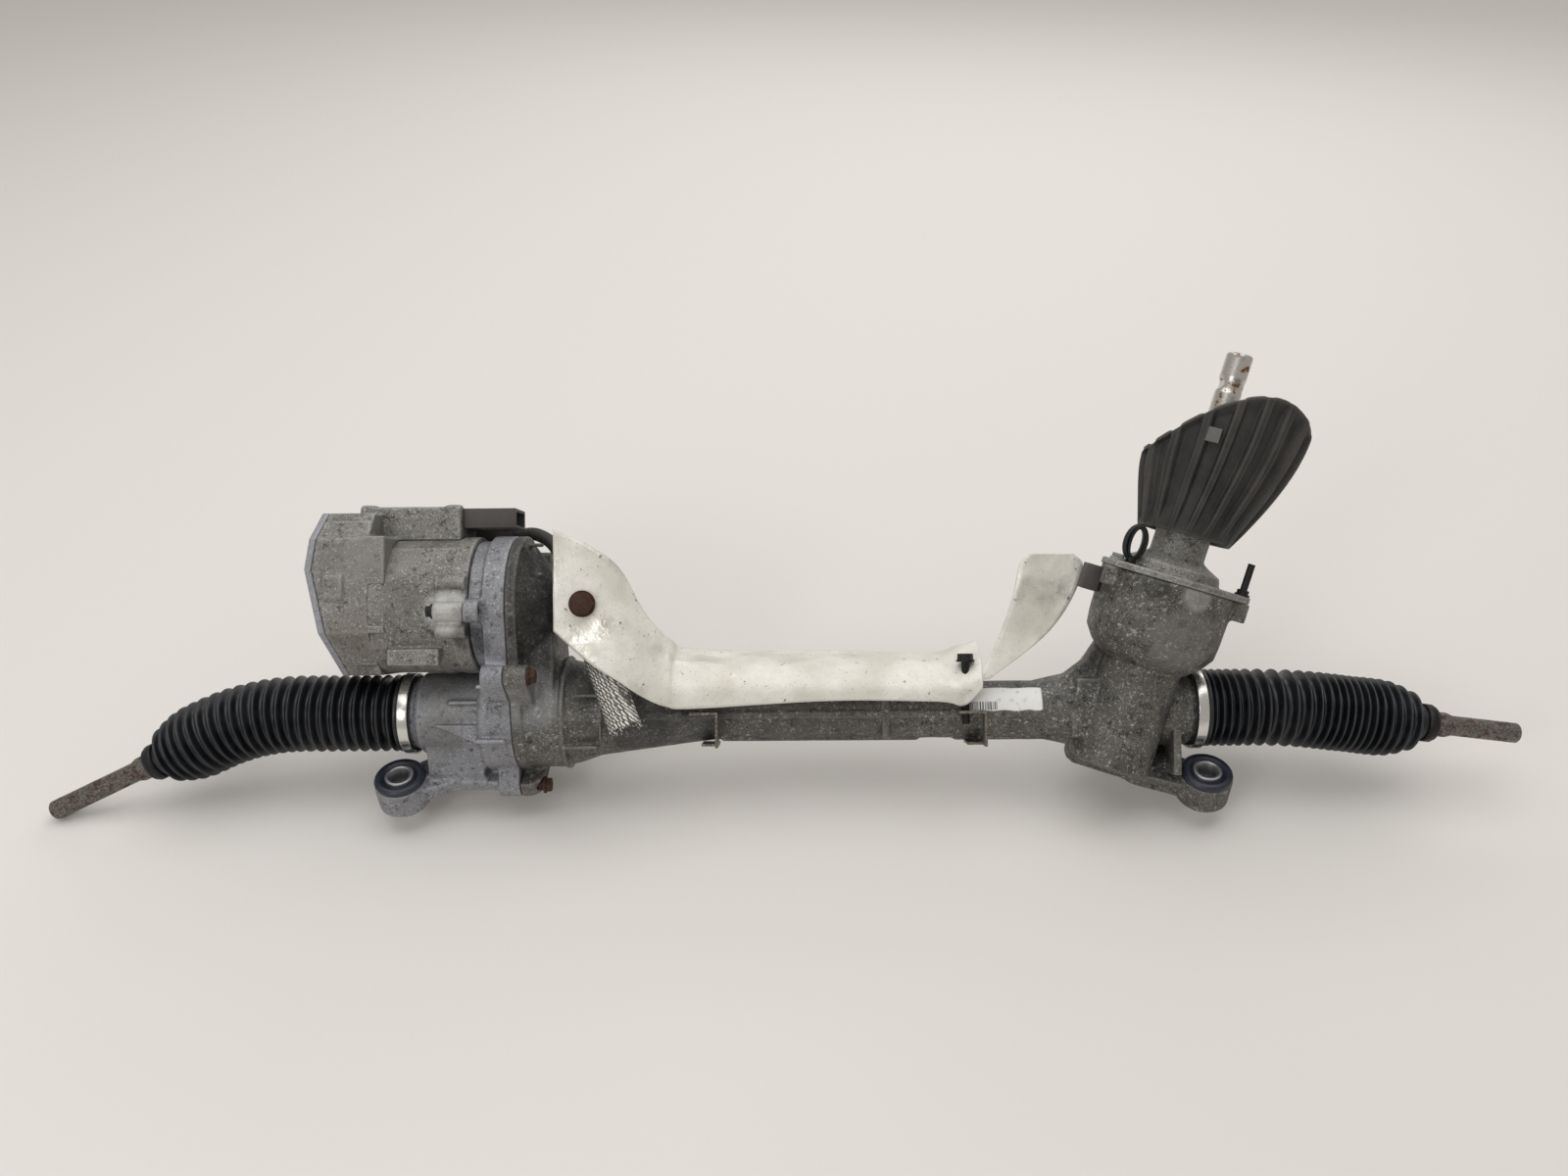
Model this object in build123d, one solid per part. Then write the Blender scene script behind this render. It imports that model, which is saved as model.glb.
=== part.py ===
from build123d import *
import os
from math import atan2, cos, degrees, pi, radians, sin, sqrt, tan

# Belt-driven electric power steering rack, in millimetres.
# Row frame: the origin lies midway between the two mounting bushes, in the plane their sleeves
# stand on. +Z runs up the mounting bolts, +X along the rack, and the car's pedals are towards -Y.
# Two slanted working frames share the rack axis: the drive frame holds the motor and the belt
# chamber, the pinion frame holds the input shaft. Both use (along the rack, up, towards front).

# ---------------------------------------------------------------- layout
MOUNT_SPACING = 607.0      # between the two mounting bolts
RACK_Y = 41.0              # rack axis behind the mounting bolts
RACK_Z = 54.0              # rack axis above the subframe
DRIVE_LEAN = 38.5          # belt plane leans back from vertical, degrees
PINION_LEAN = 32.0         # pinion plane leans back from vertical, degrees
PINION_RAKE = 16.8         # pinion axis away from square to the rack, degrees
PINION_X = 243.5           # where the pinion crosses the rack
HOUSING_HALF = 303.0       # housing ends, each side of the middle
JOINT_X = -213.0           # joint face between the main and the end housing
FIT = 0.05                 # radial running clearance
GAP = 0.3                  # clearance between parts that only stand close
SEAT = 0.02                # radial clearance of parts seated in one body

# ---------------------------------------------------------------- rack and tie rods
RACK_R = 13.0
BALL_SPAN = 787.0          # between the two inner ball joints
RACK_SHIFT = -25.0         # the rack stands this far off centre
BALL_R = 14.0
SEAT_WALL = 1.45
BALL_BACK = 22.0           # ball centre to the rack's end
BALL_HOUSING_R = 18.0
MOUTH_ANGLE = 62.0         # half angle of the ball housing's mouth
NECK_R = 6.5
ROD_R = 9.5
ROD_TIP_R = 7.6
ROD_LENGTH = 178.0         # ball centre to the rod's tip
LEFT_DROOP = 25.0          # tie rods hang below the rack's line, degrees
RIGHT_DROOP = 7.0

# ---------------------------------------------------------------- pinion
MODULE = 1.9
PINION_TEETH = 8
PRESSURE = 24.0
PROFILE_SHIFT = 0.4
THINNING = 0.09            # taken off every tooth flank for backlash
PINION_FACE = 30.0         # toothed length
RACK_TEETH = 28
RACK_TEETH_START = 131.0   # first tooth space, along the rack at rest
TOP_JOURNAL_R = 10.0
LOW_JOURNAL_R = 6.0
TORSION_BAR_R = 2.6
INPUT_R = 11.0
INPUT_TOP = 275.0          # input shaft's end, along the pinion axis

# ---------------------------------------------------------------- main housing
TUBE_R = 21.5
TUBE_BORE_R = 16.0
BOOT_SEAT_R = 27.0
END_COUNTERBORE_R = 20.0
BARREL_R = 42.0            # around the nut pulley
LEFT_BARREL_R = 31.0       # slim barrel under the motor
LUG_R = 8.5                # lugs of the bolts that close the belt chamber
LUG_DEPTH = 17.0
MOTOR_V = 82.0             # motor axis above the rack, in the drive frame
MOTOR_W = 12.0             # and towards the front
MOTOR_R = 50.5
NUT_PULLEY_R = 35.0
MOTOR_PULLEY_R = NUT_PULLEY_R * 29 / 80   # 29 and 80 belt teeth
BELT_WIDTH = 25.0
BELT_THICK = 2.4
BELT_X = -207.0            # middle plane of the belt
SENSOR_R = 49.5            # torque sensor bowl
BOWL_LOW = 50.0            # along the pinion axis
BOWL_TOP = 102.0
FLANGE_THICK = 5.0
FLANGE_R = 57.0
SENSOR_NECK_R = 20.0
SENSOR_NECK_TOP = 140.0
TOWER_R = 29.0             # lower pinion housing
TOWER_LOW = -42.0
YOKE_R = 17.0
YOKE_BARREL_R = 22.5
YOKE_REACH = 46.0          # rack axis to the yoke barrel's open end

# ---------------------------------------------------------------- mounts and boots
BOSS_R = 19.5
BUSH_HOLE_R = 16.0
SLEEVE_R = 11.0
BOLT_HOLE_R = 7.25
SLEEVE_LENGTH = 29.0
BOSS_LOW = 2.0
BOSS_TOP = 23.5
BOOT_R = 29.5
BOOT_WALL = 3.0
BOOT_NECK_R = 13.4
LEFT_GRIP = 86.0           # boot neck along the tie rod, from the ball
RIGHT_GRIP = 107.0
CLAMP_WIDTH = 7.5
CLAMP_THICK = 1.6

# ---------------------------------------------------------------- covers and shields
BELL_LOW = 137.0           # along the pinion axis
BELL_R = 34.0              # narrow end
BELL_WALL = 3.0
SHIELD_THICK = 1.6
SHIELD_BOLT = (-159.6, 82.0)
SHIELD_SCREW = (122.0, 27.0)
CONDUIT_R = 5.0


# ---------------------------------------------------------------- frames and small helpers
def leaned(angle):
    """Frame on the rack axis: x along the rack, y up and back, z towards the front."""
    lean = radians(angle)
    return Plane(origin=(0, RACK_Y, RACK_Z), x_dir=(1, 0, 0), z_dir=(0, -cos(lean), sin(lean)))


def tooth_radii():
    """Pitch radius, tip radius, root radius and the rack tooth tip's distance from the axis."""
    pitch = MODULE * PINION_TEETH / 2
    tip = pitch + MODULE * (1.2 + PROFILE_SHIFT - 0.2 * PROFILE_SHIFT * 2)
    root = pitch + MODULE * (PROFILE_SHIFT - 1.25)
    rack_tip = pitch + MODULE * (PROFILE_SHIFT - 1.0)
    return pitch, tip, root, rack_tip


PITCH_R, PINION_TIP_R, PINION_ROOT_R, RACK_TIP_D = tooth_radii()
RACK_ROOT_D = PINION_TIP_R + 0.4
RACK_FLAT = 9.6                              # rack axis to the tooth tips
PINION_W = RACK_FLAT + RACK_TIP_D            # pinion axis in front of the rack axis
DRIVE = leaned(DRIVE_LEAN)
RAKED = leaned(PINION_LEAN)


def pinion_frame():
    """Frame on the pinion axis: z up the shaft, y towards the rack."""
    across, up = RAKED.x_dir, RAKED.y_dir
    rake = radians(PINION_RAKE)
    axis = across * sin(rake) + up * cos(rake)
    origin = RAKED.from_local_coords((PINION_X, 0, PINION_W))
    return Plane(origin=origin, x_dir=across * cos(rake) - up * sin(rake), z_dir=axis)


PINION = pinion_frame()


def rod(radius, low, high):
    """Solid cylinder along local z."""
    return Pos(0, 0, low) * Cylinder(radius, high - low, align=(Align.CENTER, Align.CENTER, Align.MIN))


def tube(outer, inner, low, high):
    """Hollow cylinder along local z."""
    return rod(outer, low, high) - rod(inner, low - 1, high + 1)


def rod_x(radius, low, high):
    """Solid cylinder along x."""
    return Pos(low, 0, 0) * Rot(0, 90, 0) * rod(radius, 0, high - low)


def tube_x(outer, inner, low, high):
    """Hollow cylinder along x."""
    return rod_x(outer, low, high) - rod_x(inner, low - 1, high + 1)


def turned_x(points):
    """Body of revolution about x from (x, radius) corners."""
    return revolve(make_face(Polyline(*points, close=True)), Axis.X)


def turned_z(points):
    """Body of revolution about z from (radius, z) corners."""
    outline = [(radius, 0, height) for radius, height in points]
    return revolve(make_face(Polyline(*outline, close=True)), Axis.Z)


def block(x, y, z):
    """Box from its three (low, high) spans."""
    size = (x[1] - x[0], y[1] - y[0], z[1] - z[0])
    return Pos(x[0], y[0], z[0]) * Box(*size, align=(Align.MIN, Align.MIN, Align.MIN))


def hull_x(circles, low, high):
    """Prism along x whose outline is stretched round (y, z, radius) circles."""
    rings = [Pos(y, z) * Circle(radius) for y, z, radius in circles]
    edges = [edge for ring in rings for edge in ring.edges()]
    face = Plane.YZ * make_hull(edges)
    return Pos(low, 0, 0) * extrude(face, high - low)


def hull_z(circles, low, high):
    """Prism along z whose outline is stretched round (x, y, radius) circles."""
    rings = [Pos(x, y) * Circle(radius) for x, y, radius in circles]
    edges = [edge for ring in rings for edge in ring.edges()]
    return Pos(0, 0, low) * extrude(make_hull(edges), high - low)


def in_drive(shape):
    return DRIVE.location * shape


def in_raked(shape):
    return RAKED.location * shape


def in_pinion(shape):
    return PINION.location * shape


def ball_x(side):
    """Ball centre along the rack; side is -1 at the left and 1 at the right."""
    return side * BALL_SPAN / 2 + RACK_SHIFT


def droop(side):
    return LEFT_DROOP if side < 0 else RIGHT_DROOP


def rod_frame(side):
    """Frame at the ball centre with z out along the tie rod and y in the drooping plane."""
    angle = radians(droop(side))
    origin = RAKED.from_local_coords((ball_x(side), 0, 0))
    axis = RAKED.x_dir * side * cos(angle) - RAKED.y_dir * sin(angle)
    return Plane(origin=origin, x_dir=RAKED.z_dir, z_dir=axis)


# ---------------------------------------------------------------- bolt places
def chamber_bolts():
    """(v, w) places of the bolts that close the belt chamber."""
    return [(-55.0, 5.0), (-30.0, -41.0), (28.0, -52.0), (116.0, -37.0), (30.0, 62.0)]


def motor_bolts_at():
    """(v, w) places of the three motor bolts."""
    reach = MOTOR_R + 5.6
    return [(MOTOR_V + reach * cos(a), MOTOR_W + reach * sin(a)) for a in map(radians, (95, 212, 292))]


def cover_bolts_at():
    """(x, y) places of the sensor cover's bolts, round the pinion axis."""
    return [((FLANGE_R - 5) * cos(a), (FLANGE_R - 5) * sin(a)) for a in map(radians, (-20, 100, 205))]


# ---------------------------------------------------------------- rack body
def rack_bar():
    left, right = ball_x(-1) + BALL_BACK, ball_x(1) - BALL_BACK
    bar = rod_x(RACK_R, left, right)
    pitch = pi * MODULE / cos(radians(PINION_RAKE))
    length = pitch * RACK_TEETH
    bar -= block((RACK_TEETH_START, RACK_TEETH_START + length), (-RACK_R, RACK_R), (RACK_FLAT, RACK_R + 1))
    half_top = pi * MODULE / 4 + THINNING + MODULE * tan(radians(PRESSURE))
    depth = RACK_ROOT_D - RACK_TIP_D
    half_low = half_top - depth * tan(radians(PRESSURE))
    space = make_face(Polyline((-half_top, 0), (half_top, 0), (half_low, -depth), (-half_low, -depth), close=True))
    cutter = extrude(Plane.XZ * space, 2 * RACK_R, both=True)
    cutter = Rot(0, 0, -PINION_RAKE) * cutter
    first = PINION_X + pitch / 2 - pitch * round((PINION_X - RACK_TEETH_START) / pitch)
    for tooth in range(RACK_TEETH - 1):
        bar -= Pos(first + pitch * tooth, 0, RACK_FLAT) * cutter
    for side in (-1, 1):
        end = ball_x(side) - side * BALL_BACK
        bar -= Pos(end, 0, 0) * rod_x(8.0, -16.5, 16.5)
    return in_raked(bar)


def ball_housing(side):
    """Socket that screws into the rack's end and wraps the tie rod's ball."""
    cavity = BALL_R + SEAT_WALL + 2 * FIT
    front = 12.0
    shell = rod_x(BALL_HOUSING_R, -BALL_BACK, front) + rod_x(8.0 - SEAT, -BALL_BACK - 15, -BALL_BACK)
    shell = chamfer(shell.edges().filter_by(GeomType.CIRCLE).group_by(SortBy.RADIUS)[-1], 1.5)
    shell -= Sphere(cavity)
    wide = 30.0
    mouth = turned_x([(0, 0), (wide, 0), (wide, wide * tan(radians(MOUTH_ANGLE)))])
    shell -= mouth
    for flat in (-1, 1):
        shell -= block((-BALL_BACK - 1, -BALL_BACK + 9), (flat * 15.5, flat * 20) if flat > 0 else (-20, -15.5), (-20, 20))
    if side < 0:
        shell = mirror(shell, Plane.YZ)
    return in_raked(Pos(ball_x(side), 0, 0) * shell)


def ball_seat(side):
    """Plastic cup between the ball and its socket."""
    inner = BALL_R + FIT
    shell = Sphere(inner + SEAT_WALL) - Sphere(inner)
    wide = 30.0
    shell -= turned_z([(0, 0), (0, wide), (wide * tan(radians(MOUTH_ANGLE)), wide)])
    return rod_frame(side).location * shell


def tie_rod(side):
    """Inner tie rod: ball, neck, boot groove and the plain outer shank."""
    grip = LEFT_GRIP if side < 0 else RIGHT_GRIP
    shoulder = max(grip + 12.0, 98.0)
    shank = turned_z([
        (0, 0), (NECK_R, 0), (NECK_R, 22), (ROD_R, 32), (ROD_R, shoulder), (ROD_TIP_R, shoulder + 8),
        (ROD_TIP_R, ROD_LENGTH - 1.5), (ROD_TIP_R - 1.5, ROD_LENGTH), (0, ROD_LENGTH),
    ])
    return rod_frame(side).location * (Sphere(BALL_R) + shank)


# ---------------------------------------------------------------- pinion body
def pinion_gear():
    """Eight straight involute teeth, cut to run on the rack's slanted teeth."""
    base = PITCH_R * cos(radians(PRESSURE))
    shift_gain = 2 * PROFILE_SHIFT * tan(radians(PRESSURE))
    half_tooth = (pi / 2 + shift_gain) / PINION_TEETH - THINNING / PITCH_R
    pressure = radians(PRESSURE)
    half_base = half_tooth + tan(pressure) - pressure

    def flank(radius):
        roll = sqrt(max((radius / base) ** 2 - 1, 0))
        return half_base - (roll - atan2(roll, 1))

    steps = [base + (PINION_TIP_R - base) * n / 4 for n in range(5)]
    gear = rod(PINION_ROOT_R, -PINION_FACE / 2, PINION_FACE / 2)
    for tooth in range(PINION_TEETH):
        middle = pi / 2 + (tooth + 0.5) * 2 * pi / PINION_TEETH
        left = [(r * cos(middle + flank(r)), r * sin(middle + flank(r))) for r in steps]
        right = [(r * cos(middle - flank(r)), r * sin(middle - flank(r))) for r in steps]
        foot = half_base
        root = PINION_ROOT_R - 0.8
        foot_left = (root * cos(middle + foot), root * sin(middle + foot))
        foot_right = (root * cos(middle - foot), root * sin(middle - foot))
        top = (PINION_TIP_R * cos(middle), PINION_TIP_R * sin(middle))
        outline = Line(foot_right, right[0]) + Spline(*right) + ThreePointArc(right[-1], top, left[-1])
        outline += Spline(*left[::-1]) + Line(left[0], foot_left) + Line(foot_left, foot_right)
        gear += Pos(0, 0, -PINION_FACE / 2) * extrude(make_face(outline), PINION_FACE)
    return gear


def pinion():
    """Pinion with its two journals and the hollow head that holds the torsion bar."""
    half = PINION_FACE / 2
    shaft = pinion_gear()
    shaft += turned_z([(0, -half - 20), (LOW_JOURNAL_R, -half - 20), (LOW_JOURNAL_R, -half), (0, -half)])
    shaft += turned_z([
        (0, half), (PINION_ROOT_R, half), (TOP_JOURNAL_R, half + 4), (TOP_JOURNAL_R, half + 26),
        (13.0, half + 26), (13.0, half + 50), (0, half + 50),
    ])
    shaft -= rod(TORSION_BAR_R + 1.2, half + 2, half + 60)
    shaft -= rod(9.0, half + 30, half + 60)
    return in_pinion(shaft)


def pinion_nut():
    """Lock nut under the lower bearing."""
    half = PINION_FACE / 2
    nut = extrude(RegularPolygon(9.5, 6), 5) - rod(LOW_JOURNAL_R + SEAT, -1, 6)
    return in_pinion(Pos(0, 0, -half - 19) * nut)


def torsion_bar():
    """Thin bar that twists between the input shaft and the pinion."""
    half = PINION_FACE / 2
    low = half + 2.0
    bar = rod(TORSION_BAR_R, low + SEAT, INPUT_TOP - 60) + rod(TORSION_BAR_R + 1.2 - SEAT, low + SEAT, low + 12)
    return in_pinion(bar)


def input_shaft():
    """Steering column shaft: hollow, flatted above the cover, with the pinch bolt's groove."""
    half = PINION_FACE / 2
    low = half + 34.0
    shaft = turned_z([
        (0, low), (8.6, low), (8.6, half + 51), (INPUT_R, half + 51), (INPUT_R, 200), (10.0, 204),
        (10.0, INPUT_TOP - 30), (9.2, INPUT_TOP - 27), (9.2, INPUT_TOP - 21), (10.0, INPUT_TOP - 18),
        (10.0, INPUT_TOP - 1.5), (8.5, INPUT_TOP), (0, INPUT_TOP),
    ])
    shaft -= rod(TORSION_BAR_R + 0.5, low - 1, INPUT_TOP - 58)
    shaft -= block((7.6, 12), (-12, 12), (INPUT_TOP - 36, INPUT_TOP + 1))
    shaft -= Pos(-11.5, 0, INPUT_TOP - 24) * Rot(90, 0, 0) * rod(4.5, -14, 14)
    return in_pinion(shaft)


def pinion_top_bearing():
    half = PINION_FACE / 2
    return in_pinion(tube(17.5, TOP_JOURNAL_R + FIT, half + 8, half + 20))


def pinion_low_bearing():
    half = PINION_FACE / 2
    return in_pinion(tube(13.0, LOW_JOURNAL_R + FIT, -half - 12, -half - 3))


def bottom_cap():
    """Pressed cap under the pinion."""
    cap = rod(15.5 - SEAT, TOWER_LOW + 1, TOWER_LOW + 4.5) + rod(13.0, TOWER_LOW - 1.5, TOWER_LOW + 1)
    return in_pinion(cap)


def shaft_seal():
    """Lip seal in the sensor cover's neck."""
    return in_pinion(tube(SENSOR_NECK_R - 4, INPUT_R + FIT, SENSOR_NECK_TOP - 9, SENSOR_NECK_TOP - 2))


# ---------------------------------------------------------------- ball nut drive
def ball_nut():
    """Nut that turns round the rack's screw and drives it along."""
    nut = turned_x([
        (-232, RACK_R + FIT), (-232, 24), (BELT_X + 16, 24), (BELT_X + 16, 27), (BELT_X + 19, 27),
        (BELT_X + 19, 24), (-172, 24), (-172, 20), (-158, 20), (-158, RACK_R + FIT),
    ])
    return in_drive(nut)


def nut_bearing():
    """Angular contact bearing that carries the nut: outer ring."""
    return in_drive(tube_x(34.0 - SEAT, 24.0 + FIT, BELT_X + 19 + FIT, -174))


def bearing_ring():
    """Threaded ring that clamps the nut's bearing in the main housing."""
    return in_drive(tube_x(34.0 - SEAT, 29.0, BELT_X + 16, BELT_X + 19))


def pulley(radius, bore, centre):
    """Flat-running pulley with a flange on its outer side."""
    half = BELT_WIDTH / 2
    wheel = tube_x(radius, bore, BELT_X - half - 1, BELT_X + half + 1)
    wheel += tube_x(radius + 2.2, bore, BELT_X - half - 2.5, BELT_X - half - 1)
    return Pos(0, centre[0], centre[1]) * wheel


def nut_pulley():
    wheel = pulley(NUT_PULLEY_R, 24.0 + SEAT, (0, 0))
    wheel -= tube_x(34, 28, BELT_X + 4, BELT_X + 20)
    return in_drive(wheel)


def motor_pulley():
    return in_drive(pulley(MOTOR_PULLEY_R, 6.0 + SEAT, (MOTOR_V, MOTOR_W)))


def drive_belt():
    """Endless toothed belt, drawn as the smooth band it wraps to."""
    half = BELT_WIDTH / 2
    inner = [(0, 0, NUT_PULLEY_R + 0.1), (MOTOR_V, MOTOR_W, MOTOR_PULLEY_R + 0.1)]
    outer = [(v, w, radius + BELT_THICK) for v, w, radius in inner]
    return in_drive(hull_x(outer, BELT_X - half, BELT_X + half) - hull_x(inner, BELT_X - half - 1, BELT_X + half + 1))


def motor_shaft():
    """Rotor with its magnets on the motor shaft."""
    shaft = rod_x(6.0, -309, BELT_X + BELT_WIDTH / 2 + 2) + rod_x(22.0, -302, -250)
    return in_drive(Pos(0, MOTOR_V, MOTOR_W) * shaft)


def stator():
    """Wound stator ring with twelve teeth."""
    ring = tube_x(44.0 - SEAT, 37.0, -304, -250)
    for n in range(12):
        tooth = block((-300, -254), (22.6, 38), (-3.2, 3.2))
        ring += Rot(30 * n, 0, 0) * tooth
    return in_drive(Pos(0, MOTOR_V, MOTOR_W) * ring)


# ---------------------------------------------------------------- housings
def end_boss(side):
    """Round boss for a mounting bush, standing on the subframe."""
    return Pos(side * MOUNT_SPACING / 2, 0, 0) * rod(BOSS_R, BOSS_LOW, BOSS_TOP)


def bush_hole(side):
    return Pos(side * MOUNT_SPACING / 2, 0, 0) * rod(BUSH_HOLE_R, -1, SLEEVE_LENGTH + 1)


def chamber_outline(grow):
    """Circles round the nut pulley and the motor, each with its wall."""
    return [(0, 0, BARREL_R + grow), (MOTOR_V, MOTOR_W, MOTOR_R + grow)]


def end_housing():
    """Left casting: boot seat, slim barrel, motor mount and the left mounting arm."""
    left = -HOUSING_HALF
    casting = turned_x([
        (left, 0), (left, BOOT_SEAT_R), (left + 13, BOOT_SEAT_R), (left + 17, LEFT_BARREL_R),
        (-239, LEFT_BARREL_R), (-239, BARREL_R - 2), (-236, BARREL_R + 1.5), (JOINT_X, BARREL_R + 1.5), (JOINT_X, 0),
    ])
    casting += hull_x(chamber_outline(1.5), -229, JOINT_X)
    casting += Pos(0, MOTOR_V, MOTOR_W) * rod_x(MOTOR_R - 2, -240, -229)
    for v, w in chamber_bolts():
        casting += hull_x([(v, w, LUG_R), (v * 0.75, w * 0.75, 12)], -229, JOINT_X)
    for v, w in motor_bolts_at():
        casting += hull_x([(v, w, 8.0), (MOTOR_V, MOTOR_W, 12)], -240, -229)
    wedge = make_face(Polyline((-274, -7), (-238, -7), (-238, -22), close=True))
    casting += extrude(wedge, LEFT_BARREL_R + 2.5)
    casting = in_drive(casting) + left_arm() + end_boss(-1)
    hollow = rod_x(TUBE_BORE_R, left - 1, JOINT_X + 1) + rod_x(END_COUNTERBORE_R, left - 1, left + 10)
    hollow += rod_x(26.0, -234, JOINT_X + 1)
    chamber = [(0, 0, NUT_PULLEY_R + 4), (MOTOR_V, MOTOR_W, MOTOR_PULLEY_R + 8)]
    hollow += hull_x(chamber, BELT_X - BELT_WIDTH / 2 - 4.5, JOINT_X + 1)
    hollow += Pos(0, MOTOR_V, MOTOR_W) * rod_x(MOTOR_PULLEY_R + 6, -241, -223)
    for v, w in motor_bolts_at():
        hollow += Pos(0, v, w) * rod_x(3.4, -241, -227)
    for v, w in chamber_bolts():
        hollow += Pos(0, v, w) * rod_x(3.0, JOINT_X - 12, JOINT_X + 1)
    casting -= in_drive(hollow)
    return casting - bush_hole(-1)


def left_arm():
    """Arm from the barrel to the left mounting boss, with the web that carries it."""
    x = -MOUNT_SPACING / 2
    arm = hull_z([(x, 0, BOSS_R - 4), (x + 44, 22, 18)], 9, 20)
    arm += hull_z([(x + 48, 12, 12), (-200, 12, 13), (-200, 40, 14), (x + 40, 44, 14)], 11, 20)
    web = make_face(Polyline((3, 14), (3, 26), (14, 56), (60, 56), (66, 40), (54, 14), close=True))
    arm += Pos(x + 21, 0, 0) * extrude(Plane.YZ * web, -240 - x - 21)
    return arm - block((JOINT_X, 0), (-50, 100), (0, 60))


def rack_housing():
    """Main casting: belt chamber, rack tube, pinion tower, sensor bowl and right arm."""
    casting = in_drive(chamber_and_tube()) + front_lug()
    casting += in_pinion(pinion_tower())
    casting += in_raked(Pos(PINION_X, 0, 0) * rod(YOKE_BARREL_R, -YOKE_REACH, 0))
    casting += right_arm()
    casting -= in_drive(rack_hollow())
    casting -= in_pinion(pinion_hollow())
    casting -= in_raked(Pos(PINION_X, 0, 0) * rod(YOKE_R, -YOKE_REACH - 1, 0))
    return casting - bush_hole(1)


def chamber_and_tube():
    """Belt chamber with its slanted shoulder, the flare and the rack tube with its ribs."""
    right = HOUSING_HALF
    casting = hull_x(chamber_outline(1.5), JOINT_X, JOINT_X + 8)
    for v, w in chamber_bolts()[1:]:
        casting += hull_x([(v, w, LUG_R), (v * 0.6, w * 0.6, 12)], JOINT_X, JOINT_X + LUG_DEPTH)
    upper = loft([
        Plane.YZ.offset(JOINT_X + 8) * Pos(MOTOR_V, MOTOR_W) * Circle(MOTOR_R - 1),
        Plane.YZ.offset(JOINT_X + 31) * Pos(MOTOR_V - 6, MOTOR_W) * Circle(MOTOR_PULLEY_R + 13),
    ])
    casting += upper
    shoulder = [(0, 0, BARREL_R - 0.5), (MOTOR_V - 8, MOTOR_W, MOTOR_PULLEY_R + 10)]
    casting += hull_x(shoulder, JOINT_X + 7, JOINT_X + 30.5)
    casting += turned_x([
        (JOINT_X + 30, 0), (JOINT_X + 30, BARREL_R), (-166, BARREL_R - 4), (-152, 33), (-76, TUBE_R + 1.5),
        (-60, TUBE_R), (176, TUBE_R), (205, BOOT_SEAT_R + 1), (right - 13, BOOT_SEAT_R + 1),
        (right - 13, BOOT_SEAT_R), (right, BOOT_SEAT_R), (right, 0),
    ])
    x, v = SHIELD_BOLT
    casting += Pos(x, v, 0) * rod(9.0, -2, 42) + block((JOINT_X + 30, x), (v - 5, v + 5), (2, 29))
    # parting ridge, lower lip and the stiffening ribs of the flare
    ridge = Polyline(
        (-178, 0, 0), (-178, 0, BARREL_R + 1), (-166, 0, 39), (-152, 0, 34), (-76, 0, TUBE_R + 2.5),
        (-60, 0, TUBE_R + 1.6), (200, 0, TUBE_R + 1.6), (200, 0, 0), close=True,
    )
    casting += Pos(0, 0.5, 0) * extrude(make_face(ridge), 5, dir=(0, -1, 0))
    for low, high in ((-60, 88), (116, 190)):
        casting += block((low, high), (-TUBE_R - 1.5, -TUBE_R + 3), (-3, 6))
    casting += rod_x(BARREL_R + 1, -178, -175)
    return casting


def front_lug():
    """Lug in front of the chamber's foot, in line with the left arm."""
    lug = hull_z([(JOINT_X, 8, 12), (-208, 8, 12), (JOINT_X, 30, 12), (-208, 30, 12)], 8, 21)
    return lug - block((-250, JOINT_X), (-50, 100), (0, 60))


def pinion_tower():
    """Tower round the pinion, opening into the sensor bowl with its flange ears."""
    tower = rod(TOWER_R, TOWER_LOW, BOWL_LOW + 6)
    tower += turned_z([
        (0, BOWL_LOW - 12), (TOWER_R + 2, BOWL_LOW - 12), (SENSOR_R - 9, BOWL_LOW - 4), (SENSOR_R - 2, BOWL_LOW + 6),
        (SENSOR_R - 1, BOWL_LOW + 16), (SENSOR_R, BOWL_TOP), (0, BOWL_TOP),
    ])
    for x, y in cover_bolts_at():
        tower += hull_z([(x, y, 7.5), (x * 0.7, y * 0.7, 10)], BOWL_TOP - 14, BOWL_TOP)
    return tower


def rack_hollow():
    """Rack bore, belt chamber, bearing seat and bolt holes of the main casting."""
    right = HOUSING_HALF
    bore = rod_x(TUBE_BORE_R, JOINT_X - 1, right + 1) + rod_x(END_COUNTERBORE_R, right - 10, right + 1)
    bore += rod_x(34.0, BELT_X + 10, -174) + rod_x(26.0, BELT_X + 10, -156)
    wide = [(0, 0, NUT_PULLEY_R + 4), (MOTOR_V, MOTOR_W, MOTOR_PULLEY_R + 8)]
    bore += hull_x(wide, JOINT_X - 1, BELT_X + BELT_WIDTH / 2 + 3.5)
    for v, w in chamber_bolts():
        bore += Pos(0, v, w) * rod_x(3.4, JOINT_X - 1, JOINT_X + 40)
    x, v = SHIELD_BOLT
    return bore + Pos(x, v, 0) * rod(5.0, 34, 44)


def pinion_hollow():
    """Stepped bore of the tower, the sensor space and the cover's screw holes."""
    half = PINION_FACE / 2
    well = rod(PINION_TIP_R + 1.2, -half - 3, half + 8) + rod(13.0 + SEAT, -half - 12, -half - 2)
    well += rod(15.5, TOWER_LOW - 14, -half - 12) + rod(17.5 + SEAT, half + 8, half + 30)
    well += rod(SENSOR_R - 6, BOWL_LOW + 10, BOWL_TOP + 1) + rod(20, half + 20, BOWL_LOW + 12)
    for x, y in cover_bolts_at():
        well += Pos(x, y, 0) * rod(2.9, BOWL_TOP - 12, BOWL_TOP + 1)
    return well


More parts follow.
